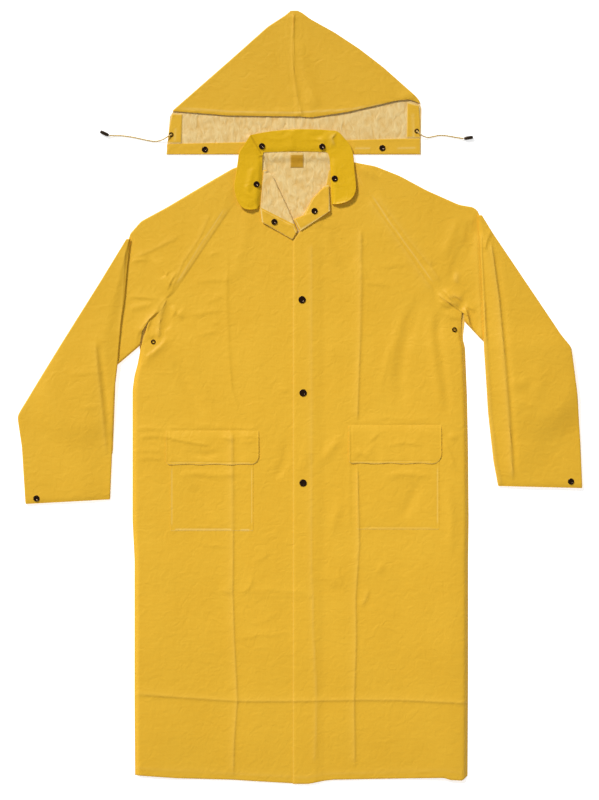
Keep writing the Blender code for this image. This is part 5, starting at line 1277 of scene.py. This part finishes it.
@dataclass
class Sleeve:
    """One sleeve folded in: upper tube, hidden tuck and lower tube to the cuff."""

    cloth: Cloth
    side: Side
    depth: float = 3.0                # between the middles of a tube's two layers
    shoulder: dict = per_side(
        ((-109, 451), (-130, 445), (-170, 422), (-259, 369), (-309, 342), (-330, 318)),
        ((89, 455), (103, 457), (146, 449), (194, 430), (246, 402), (309, 374), (338, 369), (346, 361)))
    underarm: dict = per_side(((-312, 99), (-353, 64), (-424, 11)), ((320, 146), (353, 111), (462, 26)))
    outer: dict = per_side(
        ((-534, -208), (-541, -97), (-549, -44), (-549, -36), (-543, -25), (-465, 101), (-389, 222),
         (-337, 307)),
        ((549, -177), (545, -84), (539, 4), (527, 97), (507, 121), (373, 320), (353, 353)))
    inner: dict = per_side(
        ((-369, -199), (-360, 13), (-354, 64), (-347, 148), (-341, 186), (-335, 253), (-329, 307)),
        ((385, -173), (376, -126), (365, -29), (357, 93), (353, 211), (345.5, 353)))
    tuck_hidden: dict = per_side(((-374, -110), (-421, 13), (-348, 262)), ((381, -70), (459, 28), (364, 300)))
    tuck_shown: dict = per_side(((-364, -110), (-357, 64), (-338, 262)), ((371, -70), (361, 93), (354, 300)))
    upper_cut: dict = per_side(Cut(0.56, 0.3, 0.0885, "folded"), Cut(0.56, 0.3, 0.1, "folded"))
    tuck_cut: dict = per_side(Cut(0.12, 0.39, 0.0264, "folded", ("sleeve_left_upper_cloth",)),
                              Cut(0.16, 0.38, 0.0391, "folded", ("sleeve_right_upper_cloth",)))
    lower_cut: dict = per_side(Cut(0.38, 0.53, 0.1256, "folded", ("sleeve_left_tuck_cloth",)),
                               Cut(0.38, 0.53, 0.1384, "folded", ("sleeve_right_tuck_cloth",)))
    grain: dict = per_side((-52, 8), (52, -8))         # of the upper and the lower tube, in degrees
    mouth_press: tuple = (0.6, 1.32)  # how far the inner and the outer skin go down at a mouth,
    seam_reach: float = 22.0          # over this way at the raglan seam
    mouth_reach: float = 7.0          # and this way elsewhere
    edge_reach: float = 40.0          # width over which a tube is flattened towards its end edge
    tuck_level: float = 36.0          # a layer keeps its height this far past what it lies on, the tuck
    lower_level: float = 58.0         # and the lower tube,
    fall: float = 60.0                # and comes down to the ground over this way

    def build(self) -> None:
        """Make the three tubes, from the ground up."""
        side, name = self.side, "sleeve_%s_" % self.side.value
        hidden = (self.shoulder[side][-1], self.underarm[side][-1])
        upper = tuple(rounded(run) for run in (
            RAGLAN[side], hidden, self.shoulder[side], self.underarm[side]))
        tuck = self.strip(self.tuck_hidden[side], self.tuck_shown[side])
        lower = self.strip(self.outer[side], self.inner[side])
        upper_grain, lower_grain = self.grain[side]
        self.tube(name + "upper", upper, 100, 74, lambda x, y: 0.0 * x, self.depth, self.upper_cut[side],
                  upper_grain, ground=True)
        self.tube(name + "tuck", tuck, 12, 50, self.on_upper, PITCH, self.tuck_cut[side], 0)
        self.tube(name + "lower", lower, 64, 150, self.on_tuck, self.depth, self.lower_cut[side],
                  lower_grain, flatten=0.62)

    @staticmethod
    def strip(first: Run, second: Run) -> tuple[np.ndarray, ...]:
        """Four edges of a strip between two runs, its first row at their first points."""
        starts, stops = (first[0], second[0]), (first[-1], second[-1])
        return tuple(rounded(run) for run in (starts, stops, first, second))

    def over_upper(self, x: np.ndarray, y: np.ndarray, level: float) -> np.ndarray:
        """Height over the upper tube, kept up to a level's way past it."""
        outline = self.shoulder[self.side] + self.underarm[self.side][::-1]
        return self.drape(x, y, outline, self.depth + PITCH, level)

    def on_upper(self, x: np.ndarray, y: np.ndarray) -> np.ndarray:
        """Height of what the tuck lies on."""
        return self.over_upper(x, y, self.tuck_level)

    def on_tuck(self, x: np.ndarray, y: np.ndarray) -> np.ndarray:
        """Height of what the lower tube lies on."""
        outline = self.tuck_hidden[self.side] + self.tuck_shown[self.side][::-1]
        return (self.over_upper(x, y, self.lower_level)
                + self.drape(x, y, outline, 2 * PITCH, self.lower_level))

    def drape(self, x: np.ndarray, y: np.ndarray, polygon: Run, height: float, level: float) -> np.ndarray:
        """Height over a shape, kept for some way past it and then eased down to the ground."""
        away = outside(x, y, np.array(polygon, dtype=float))
        return height * (1 - eased((away - level) / self.fall))

    def tube(self, name: str, edges: tuple[np.ndarray, ...], cols: int, rows: int, rise: Rise, depth: float,
             cut: Cut, grain: float, ground: bool = False, flatten: float = 0.0) -> None:
        """A tube of cloth pressed flat, open at its first row and folded shut at its last.

        Each skin's section is a stadium: quarter circles at both folds, flat between them. A
        point at angle a round a fold of radius R on a skin of radius r is R - r cos a from the
        edge and r sin a from the middle.

        Args:
            name: the CAD node it stands for.
            edges: first row, last row, start edge and end edge.
            cols, rows: how dense its flat side is.
            rise: gives the height of what it lies on.
            depth: between the middles of its two layers.
            cut: what it was cut to, all round.
            grain: angle of its grain in degrees.
            ground: its lower layer stays flat on the ground.
            flatten: share of its height that the end edge is pressed down by.
        """
        radius = (depth + CLOTH) / 2
        angles = np.linspace(0, np.pi / 2, 6)
        first, last, start, end = edges
        probe = np.linspace(0, 1, rows)
        across = run_at(end, probe) - run_at(start, probe)
        wide, ways = np.linalg.norm(across, axis=1), unit(across)
        lean = [slant(ways, unit(np.gradient(run_at(edge, probe), axis=0))) for edge in (start, end)]
        long = np.linalg.norm(run_at(last, 0.5 * np.ones(1)) - run_at(first, 0.5 * np.ones(1)))
        down = np.concatenate([np.ones(rows - len(angles)), np.sin(angles)[::-1]])
        round_it = np.concatenate([np.sin(angles), np.ones(cols - 2), np.sin(angles)[::-1]])
        stadium = np.outer(down, round_it)
        rings = []
        for skin, press in zip((radius - CLOTH, radius), self.mouth_press):
            near = radius - skin * np.cos(angles)
            v_line = np.concatenate([np.linspace(0, 1 - 1.5 * radius / long, rows - len(angles)),
                                     1 - near[::-1] / long])
            low = near / (wide * lean[0])[:, None]
            high = 1 - near[::-1] / (wide * lean[1])[:, None]
            flat = low[:, -1:] + (high[:, :1] - low[:, -1:]) * np.linspace(0, 1, cols)[None, 1:-1]
            u = np.concatenate([low, flat, high], axis=1)
            v = np.repeat(v_line[:, None], u.shape[1], axis=1)
            xy = coons(first, last, start, end, v, u)
            lifted = RELIEF.height(xy[..., 0], xy[..., 1]) * stadium
            pressed = press * (1 - eased(v * long / (self.seam_reach if ground else self.mouth_reach)))
            half = (skin - pressed) * stadium
            under = rise(xy[..., 0], xy[..., 1])
            pinch = 1 - flatten * eased(1 - (1 - u) * wide.mean() / self.edge_reach)
            lie = under - 2 * flatten * (1 - pinch)      # the pressed edge also sinks a little
            carried = 0.0 if ground else lifted * eased(under / 2)
            top = np.dstack([xy, lie + (radius + half) * pinch + lifted])
            foot = np.dstack([xy, lie + (radius - half) * pinch + carried])
            rings.append(np.concatenate([top, foot[:, -2:0:-1]], axis=1))
        self.cloth.shell(name, rings[0], rings[1], cut, ring=True, grain=grain, edge_pale=0.0)


@dataclass
class Collar:
    """The collar: sections from its inner to its outer edge, from the left front round the back."""

    cloth: Cloth
    base: float = 4.7         # height of its underside beyond the neck edge
    thickness: float = 1.8
    sections: tuple = (       # inner x, y, outer x, y, inner z, lift of the outer edge
        (-81, 365, -97, 363, 3.6, 4.4), (-79, 370, -111, 367, 3.3, 4.4), (-78, 377, -120, 377, 3.1, 4.2),
        (-77.2, 388, -126, 394, 3.1, 3.6), (-76, 403, -128, 410, 3.1, 2.8), (-74, 425, -124.5, 433, 3.1, 1.6),
        (-73, 448, -121, 458, 3.4, 1.0), (-73, 462, -118, 475, 4.9, 1.0), (-72.5, 468, -108, 491, 6.2, 1.5),
        (-71.5, 473, -97, 507, 6.2, 1.5), (-68.5, 475, -91, 510, 4.7, 0.0), (-50, 476, -58, 516, 4.7, 0.0),
        (-10, 477, -14, 520, 4.7, 0.0), (25, 476.5, 25, 520, 4.7, 0.0), (46, 476, 58, 518, 4.7, 0.3),
        (53, 474, 74, 515, 4.8, 0.8), (55.5, 469, 86, 503, 4.8, 1.2), (57.5, 461, 98, 488, 4.6, 1.2),
        (58.5, 446, 104, 468, 3.6, 1.4), (59.5, 430, 106, 440, 3.1, 2.2), (60, 404, 109, 409, 3.1, 3.6),
        (60.5, 391, 106, 393, 3.1, 4.0), (61, 381, 98, 383, 3.1, 4.4), (61.5, 376.5, 84, 376.5, 3.3, 4.4),
        (62, 374.5, 70, 374, 3.6, 4.0))

    def build(self) -> None:
        """Make the collar: straight across each section, rolled up beside the neck edge."""
        shares = np.array([0, 0.14, 0.35, 0.62, 0.88, 1])
        table = np.array(self.sections, dtype=float)
        inner, outer, neck, lift = table[:, None, :2], table[:, None, 2:4], table[:, 4:5], table[:, 5:6]
        xy = inner + shares[None, :, None] * (outer - inner)
        rest = np.where(shares > 0, self.base, neck)
        roll = 0.8 * np.array([0, 1, 0.9, 0.6, 0.25, 0]) * (neck < 4)      # only where it is turned down
        control = np.dstack([xy, rest + roll + lift * shares ** 1.5])
        grid = refined(control, 240, 30)
        grid[..., 2] += RELIEF.height(grid[..., 0], grid[..., 1])
        over = grid.copy()
        over[..., 2] += self.thickness * (0.3 + 0.7 * eased(np.linspace(0, 1, grid.shape[1]) / 0.3))
        cut = Cut(0.5, 0.05, 0.0184, rests_on=("front_left_cloth", "front_right_cloth"))
        self.cloth.shell("collar", grid, over, cut, both=True, material=self.cloth.wardrobe.collar,
                         edge_pale=0.15, grain=4)


@dataclass
class Hood:
    """Two panels folded over at the sides, with their neck band and drawstring hems."""

    cloth: Cloth
    depth: float = 3.0                # between the middles of a panel's two layers
    seam: Run = ((-12, 751), (-14, 668), (-4, 579), (-1, 545))
    back_seam: Run = ((-12, 751), (-12, 553))
    fold: dict = per_side(
        ((-20, 750.5), (-24, 745.5), (-32, 740), (-63, 720), (-136, 655), (-193, 605), (-249.5, 555.5)),
        ((-3, 751), (5, 746.5), (20, 735), (67, 709), (114, 678), (161, 642), (197, 610), (223, 587),
         (233, 576), (234.5, 570)))
    face: dict = per_side(
        ((-1, 545), (-141, 547), (-238, 555), (-249.5, 555.5)),
        ((-1, 545), (20, 543), (93, 554), (145, 566), (187, 576), (213, 578.5), (226, 573.5), (234.5, 570)))
    edge: dict = per_side(            # of the back layer, from the face to the neck
        ((-253, 546), (-256, 511), (-260, 471.5)), ((236, 563), (235, 511), (235, 471.5)))
    spring: dict = per_side(0.3, 1.0)                # how far the front layer puffs up
    casing: dict = per_side(
        (((-248.5, 551), (-255, 520), (-257, 494)), ((-229, 550), (-230, 511), (-231, 494))),
        (((231, 567), (233.5, 540), (234, 504)), ((208.5, 573), (208, 530), (207.5, 504))))
    neck_y: float = 471.5
    band: Run = ((-259, 492), (234, 503))            # top edge of the neck band
    band_foot: float = 472.0

    def build(self) -> None:
        """Make the panels, the hems and the band."""
        for side in Side:
            self.panel(side)
            self.hem(side)
        (low, low_top), (high, high_top) = self.band
        x = np.linspace(low, high, 170)
        top = np.interp(x, [low, high], [low_top, high_top])
        share = np.concatenate([[0, 0.03], np.linspace(0.1, 0.9, 9), [0.97, 1.0]])[:, None]
        y = self.band_foot * (1 - share) + top * share
        xy = np.dstack([np.repeat(x[None], len(share), axis=0), y])
        self.cloth.flat_sheet("hood_band", xy, np.full(xy.shape[:2], PITCH), CLOTH,
                              Cut(0.494, 0.026, rests_on=("hood_left_cloth", "hood_right_cloth")),
                              edge_pale=0.3)

    def hem(self, side: Side) -> None:
        """The drawstring hem beside the face."""
        outer, inner = (run_at(rounded(run), np.linspace(0, 1, 24)) for run in self.casing[side])
        share = np.concatenate([[0, 0.04], np.linspace(0.12, 0.88, 7), [0.96, 1.0]])[None, :, None]
        xy = outer[:, None] * (1 - share) + inner[:, None] * share
        self.cloth.flat_sheet("hood_casing_" + side.value, xy, np.full(xy.shape[:2], PITCH), CLOTH,
                              Cut(0.025, 0.055, rests_on=("hood_%s_cloth" % side.value,)), edge_pale=0.75)

    def panel(self, side: Side) -> None:
        """One side: front layer from the middle seam to the fold, round it, and back to the back seam.

        Rows run from the peak to the face edge, then go on with the back layer alone down to
        the neck edge. The fold is a half circle, as in the sleeves.

        Args:
            side: which panel.
        """
        rows, front_cols, back_cols, lower_rows = 74, 74, 80, 30
        gap = GAP / 10 * (-1 if side is Side.LEFT else 1)
        seam, fold, face, back_seam = (rounded(run) for run in (
            self.seam, self.fold[side], self.face[side], self.back_seam))
        first = rounded((self.seam[0], self.fold[side][0]))
        share = np.linspace(0, 1, rows) ** 0.9
        tips, middles = run_at(fold, share), run_at(back_seam, share) + [gap, 0]
        heading = unit(np.gradient(tips, axis=0))
        starts = run_at(seam, share)
        wide = np.linalg.norm(tips - starts, axis=1)
        ahead, behind = unit(starts - tips), unit(middles - tips)
        ahead_slant, behind_slant = slant(ahead, heading), slant(behind, heading)
        radius = (self.depth + CLOTH) / 2
        angles = np.linspace(0, np.pi / 2, 6)
        fan = 1 - np.linspace(1, 0, back_cols) ** 1.3          # columns closer at the fold
        lower = np.array(self.edge[side], dtype=float)
        skins = []
        for skin in (radius - CLOTH, radius):
            near, lift = radius - skin * np.cos(angles), skin * np.sin(angles)
            u = np.linspace(0, 1, front_cols)[None, :] * (1 - radius / ahead_slant / wide)[:, None]
            flat = coons(first, face, seam, fold, np.repeat(share[:, None], front_cols, axis=1), u)
            flat[:, :, 0] += gap * (1 - u)
            turn = tips[:, None] + ahead[:, None] * (near[::-1][None, 1:] / ahead_slant[:, None])[..., None]
            under = tips[:, None] + behind[:, None] * (near[None, 1:] / behind_slant[:, None])[..., None]
            t = fan[None, 1:, None]
            back = under[:, -1:] * (1 - t) + middles[:, None] * t
            puff = self.spring[side] * share[:, None] ** 2 * np.sin(np.pi * u)
            height = np.concatenate([skin + puff, np.tile(lift[::-1][1:], (rows, 1)),
                                     np.tile(-lift[1:], (rows, 1)),
                                     np.full((rows, back_cols - 1), -skin)], axis=1) + radius
            plan = np.concatenate([flat, turn, under, back], axis=1)
            front_count = front_cols + 2 * (len(angles) - 1)
            s = np.linspace(0, 1, lower_rows + 1)[1:]
            left = run_at(rounded((tuple(under[-1, -1]), *map(tuple, lower)), 3), s)
            foot_x, foot_y = middles[-1]
            right = np.column_stack([np.full(lower_rows, foot_x), foot_y + (self.neck_y - foot_y) * s])
            t = fan[None, :, None]
            tail = left[:, None] * (1 - t) + right[:, None] * t
            tail = np.concatenate([np.repeat(tail[:, :1], front_count - 1, axis=1), tail], axis=1)
            plan = np.concatenate([plan, tail])
            height = np.concatenate([height, np.full(tail.shape[:2], radius - skin)])
            ripple = RELIEF.height(plan[..., 0], plan[..., 1])
            ripple[:, front_count - 1:] *= 1.0 if skin < radius else 0.0
            skins.append(np.dstack([plan, height + ripple]))
        cells = np.ones((len(skins[0]) - 1, skins[0].shape[1] - 1), dtype=bool)
        cells[rows - 1:, :front_count - 1] = False
        self.cloth.shell("hood_" + side.value, skins[0], skins[1], Cut(0.48, 0.28, 0.076, "folded"),
                         cells=cells, edge_pale=0.0)


# ---- hardware -----------------------------------------------------------------------------

@dataclass
class Hardware:
    """Snaps and eyelets, turned from their sections."""

    wardrobe: Wardrobe
    snaps: tuple = (
        ("snap_front_1", 4, 189, 4.5), ("snap_front_2", 6, 8, 4.5), ("snap_front_3", 6, -167, 4.5),
        ("snap_corner_left", -50, 340, 7.4), ("snap_corner_right", 28, 361, 8.4),
        ("snap_collar_1", -74, 487, 7.6), ("snap_collar_2", -84.5, 413, 8.2), ("snap_collar_3", 43, 486, 6.9),
        ("snap_collar_4", 67.2, 424, 8.2), ("snap_hood_1", -185, 481, 3.0), ("snap_hood_2", -70, 491, 3.0),
        ("snap_hood_3", 45, 491, 3.0), ("snap_hood_4", 160, 484, 3.0), ("snap_cuff_left", -512, -197, 4.5),
        ("snap_cuff_right", 526, -164, 4.5))
    eyelets: tuple = (
        ("eyelet_hood_left", -250.5, 510, 3.0), ("eyelet_hood_right", 227, 517, 3.0),
        ("eyelet_vent_left", -285, 107, 3.4), ("eyelet_vent_right", 300, 131, 4.5))

    cap: Run = ((0, -0.5), (6.9, -0.5), (7.2, 0.1), (7.2, 0.6), (7.0, 1.05), (6.7, 1.3), (6.2, 1.42),
                (4.8, 1.5), (4.3, 1.42), (3.7, 1.17), (1.0, -0.11), (0.5, -0.16), (0, -0.18))
    small_share: float = 0.84        # radius of every cap but the front's, as a share of those
    ring: Run = ((2.2, -0.3), (4.5, -0.3), (4.7, 0.0), (4.6, 0.4), (4.1, 0.95), (3.4, 1.2), (2.8, 1.1),
                 (2.3, 0.7), (2.1, 0.2))

    def build(self) -> None:
        """Make every snap cap and eyelet."""
        small = tuple((self.small_share * radius, height) for radius, height in self.cap)
        for name, x, y, z in self.snaps:
            section = self.cap if "front" in name else small
            self.turned(name, x, y, z, section, False, self.wardrobe.snap, "black_lacquered_brass")
        for name, x, y, z in self.eyelets:
            self.turned(name, x, y, z, self.ring, True, self.wardrobe.eyelet, "dark_brass")

    def turned(self, name: str, x: float, y: float, z: float, section: Run, hollow: bool,
               material: bpy.types.Material, slot: str) -> None:
        """A round piece: its section turned through even angles.

        Args:
            name: the CAD node it stands for.
            x, y, z: its place in mm, z without the relief.
            section: its outline, as (radius, height).
            hollow: the outline closes on itself, as a ring's does.
            material: its material.
            slot: a material slot's name; not used.
        """
        steps = 40
        profile = np.array(section)
        angle = np.arange(steps) * 2 * np.pi / steps
        level = z + float(RELIEF.height(np.array([float(x)]), np.array([float(y)]))[0])
        points = np.stack([x + profile[:, :1] * np.cos(angle), y + profile[:, :1] * np.sin(angle),
                           level + profile[:, 1:] + 0 * angle], axis=2)
        number = np.arange(len(profile) * steps).reshape(len(profile), steps)
        if not hollow:
            number[0], number[-1] = number[0, 0], number[-1, 0]
        below = number if hollow else number[:-1]
        above = np.roll(number, -1, axis=0) if hollow else number[1:]
        faces = ring_quads(below, above)
        flat = points.reshape(-1, 3)
        piece = add_mesh(name + "_metal", flat * MM, faces, flat[:, :2] * MM, np.zeros(len(flat)),
                         np.zeros(len(faces), dtype=int), [material])
        settle(piece, name)


@dataclass
class Drawstring:
    """The two free ends of the hood's drawstring, each with its cord end."""

    wardrobe: Wardrobe
    diameter: float = 2.6
    end_radius: float = 3.4
    routes: dict = per_side(
        ((-250.5, 510, 4.6), (-252.6, 508.6, 6.2), (-255.2, 506.8, 7.1), (-258.8, 504.5, 7.2),
         (-263, 502, 6.1), (-268.5, 499.6, 3.9), (-274.5, 498, 2.2), (-281, 497.3, 1.65), (-288, 497.6, 1.6),
         (-301, 500, 1.6), (-324, 505, 1.6), (-345, 508, 1.7), (-358, 508.3, 2.2), (-371, 508.4, 3.5)),
        ((227, 517, 4.6), (228.7, 515.2, 6.2), (230.9, 513, 7.1), (234, 510.3, 7.2), (238, 507.6, 6.1),
         (243.5, 505.5, 3.9), (249.5, 505, 2.2), (256, 506, 1.65), (263, 507.5, 1.6), (272, 509, 1.6),
         (286, 508, 1.7), (303, 505, 2.2), (318, 502.5, 3.5)))
    ends: dict = per_side(((-371.8, 508.4), (-388, 516)), ((318.8, 502.4), (336, 505)))
    lengths: dict = per_side(0.1247, 0.0973)         # of the routes, in metres

    def build(self) -> None:
        """Make both ends of the drawstring."""
        for side in Side:
            tip = self.cord_end(side)
            self.cord(side)

    def section(self, line: np.ndarray, radii: np.ndarray, steps: int) -> np.ndarray:
        """Rings of points round a line: two vectors square to its heading carry a circle along it."""
        heading = unit(np.gradient(line, axis=0))
        sideways = unit(np.cross(heading, np.array([0.0, 0.0, 1.0])))
        upward = np.cross(sideways, heading)
        angle = np.arange(steps) * 2 * np.pi / steps
        return line[:, None] + radii[:, None, None] * (np.cos(angle)[None, :, None] * sideways[:, None]
                                                       + np.sin(angle)[None, :, None] * upward[:, None])

    def closed_tube(self, name: str, line: np.ndarray, radii: np.ndarray, steps: int,
                    material: bpy.types.Material) -> bpy.types.Object:
        """A tube along a line with its two ends closed to a point, its UV map round and along.

        Args:
            name: the piece's name.
            line: the line's points in mm.
            radii: the tube's radius at each of them.
            steps: points round it.
            material: its material.

        Returns:
            The new object.
        """
        count = len(line)
        along = np.concatenate([[0.0], np.cumsum(np.linalg.norm(np.diff(line, axis=0), axis=1))])
        number = np.arange(count * steps).reshape(count, steps)
        start, stop = count * steps, count * steps + 1         # the two end points
        ends = ((np.roll(number[0], -1), number[0], start), (number[-1], np.roll(number[-1], -1), stop))
        caps = [np.stack([here, there, np.full(steps, point), np.full(steps, point)], axis=1)
                for here, there, point in ends]
        faces = np.concatenate([ring_quads(number[:-1], number[1:]), *caps])
        points = np.concatenate([self.section(line, radii, steps).reshape(-1, 3), line[:1], line[-1:]])
        round_it = np.arange(steps) * 2 * np.pi / steps * radii.max()
        uv = np.stack([np.tile(round_it, (count, 1)), np.repeat(along[:, None], steps, axis=1)], axis=2)
        uv = np.concatenate([uv.reshape(-1, 2), np.zeros((2, 2))])
        return add_mesh(name, points * MM, faces, uv * MM, np.zeros(len(points)),
                        np.zeros(len(faces), dtype=int), [material])

    def cord(self, side: Side) -> None:
        """One free cord: a tube on a Catmull-Rom curve through its route."""
        route = np.array(self.routes[side], dtype=float)
        line = spline(route, np.linspace(0, len(route) - 1, 110))
        radii = np.full(len(line), self.diameter / 2)
        piece = self.closed_tube("cord_%s_string" % side.value, line, radii, 14, self.wardrobe.string)
        settle(piece, "cord_" + side.value)

    def cord_end(self, side: Side) -> bpy.types.Object:
        """The moulded barrel on the cord: a short turned piece lying on its side."""
        start, end = (np.array([*p, self.end_radius + 0.3]) for p in self.ends[side])
        share = np.array([0, 0.02, 0.08, 0.14, 0.2, 0.8, 0.86, 0.9, 0.97, 1.0])
        scale = np.array([0.5, 0.7, 0.8, 0.85, 1.0, 1.0, 0.92, 0.92, 0.86, 0.7])
        line = start + share[:, None] * (end - start)
        piece = self.closed_tube("cord_end_%s_barrel" % side.value, line, self.end_radius * scale, 24,
                                 self.wardrobe.tip)
        return settle(piece, "cord_end_" + side.value)


# ---- studio -------------------------------------------------------------------------------

@dataclass
class Studio:
    """Camera straight above, a soft light from the coat's top, and a plain white floor."""

    middle: tuple[float, float] = (-0.001, -0.0058)
    view_height: float = 1.5553      # metres that the picture's long side takes in
    lens: float = 85.0
    sensor: float = 36.0
    key: tuple = ((-14.0, 18.9, 18.5), 5.9, 8100.0)      # its place, size and power
    pool_place: tuple[float, float, float] = (0.0, -0.2, 6.0)
    pool_power: float = 290.0
    pool_angle: float = 21.0
    pool_radius: float = 0.5
    sky: float = 0.24
    floor_half: float = 40.0
    floor_depth: float = 0.0002      # it lies this far under the coat
    floor_grey: float = 0.85
    floor_glow: float = 0.6

    def camera(self) -> None:
        """Put the camera above the coat, looking straight down."""
        data = bpy.data.cameras.new("camera")
        data.lens, data.sensor_width = self.lens, self.sensor
        made = bpy.data.objects.new("camera", data)
        made.location = (*self.middle, self.view_height * self.lens / self.sensor + 0.003)
        data.clip_end = 50.0
        bpy.context.scene.collection.objects.link(made)
        bpy.context.scene.camera = made

    def light(self, name: str, place: tuple[float, float, float], size: float, power: float) -> None:
        """An area light aimed at the middle of the coat."""
        data = bpy.data.lights.new(name, "AREA")
        data.shape, data.size, data.energy = "DISK", size, power
        made = bpy.data.objects.new(name, data)
        made.location = place
        aim = np.array([0.0, 0.0, 0.0]) - np.array(place)
        yaw, pitch = math.atan2(aim[1], aim[0]), math.acos(-aim[2] / np.linalg.norm(aim))
        made.rotation_euler = (pitch, 0.0, yaw - math.pi / 2)
        bpy.context.scene.collection.objects.link(made)

    def pool(self) -> None:
        """A soft-edged spot from above, brightest on the middle of the body."""
        data = bpy.data.lights.new("pool", "SPOT")
        data.energy, data.shadow_soft_size = self.pool_power, self.pool_radius
        data.spot_size, data.spot_blend = math.radians(self.pool_angle), 1.0
        made = bpy.data.objects.new("pool", data)
        made.location = self.pool_place
        made.visible_glossy = False
        bpy.context.scene.collection.objects.link(made)

    def build(self) -> None:
        """Make the camera, the lights, the world's light and the floor."""
        self.camera()
        bpy.context.scene.view_settings.view_transform = "Standard"
        self.light("key", *self.key)
        self.pool()
        world = bpy.data.worlds.new("studio")
        world.use_nodes = True
        world.node_tree.nodes.clear()
        sky = node(world.node_tree, "Background", None,
                   {"Color": (1, 1, 1, 1), "Strength": self.sky})
        node(world.node_tree, "OutputWorld", None, {"Surface": sky.outputs[0]})
        bpy.context.scene.world = world
        self.floor()

    def floor(self) -> None:
        """Make the floor, white by its colour and a glow of its own."""
        made, tree = blank("white_floor")
        grey, half, depth = self.floor_grey, self.floor_half, self.floor_depth
        shader = node(tree, "BsdfPrincipled", None, {
            "Base Color": (grey, grey, grey, 1), "Roughness": 0.9, "Emission Color": (1, 1, 1, 1),
            "Emission Strength": self.floor_glow})
        node(tree, "OutputMaterial", None, {"Surface": shader.outputs[0]})
        mesh = bpy.data.meshes.new("floor")
        mesh.from_pydata([(-half, -half, -depth), (half, -half, -depth), (half, half, -depth),
                          (-half, half, -depth)], [], [(0, 1, 2, 3)])
        mesh.materials.append(made)
        floor = bpy.data.objects.new("floor", mesh)
        bpy.context.scene.collection.objects.link(floor)


def main() -> None:
    """Build the coat around its frame, in order, and log how many pieces of cloth it made."""
    logging.basicConfig(level=logging.INFO, format="%(name)s: %(message)s")
    Studio().build()
    wardrobe = Wardrobe()
    Drawstring(wardrobe).build()
    cloth = Cloth(wardrobe)
    Body(cloth).build()
    for side in Side:
        Sleeve(cloth, side).build()
    Collar(cloth).build()
    Hood(cloth).build()
    Hardware(wardrobe).build()
    LOG.info("%d pieces of cloth", len(cloth.made))


if __name__ == "__main__":
    main()
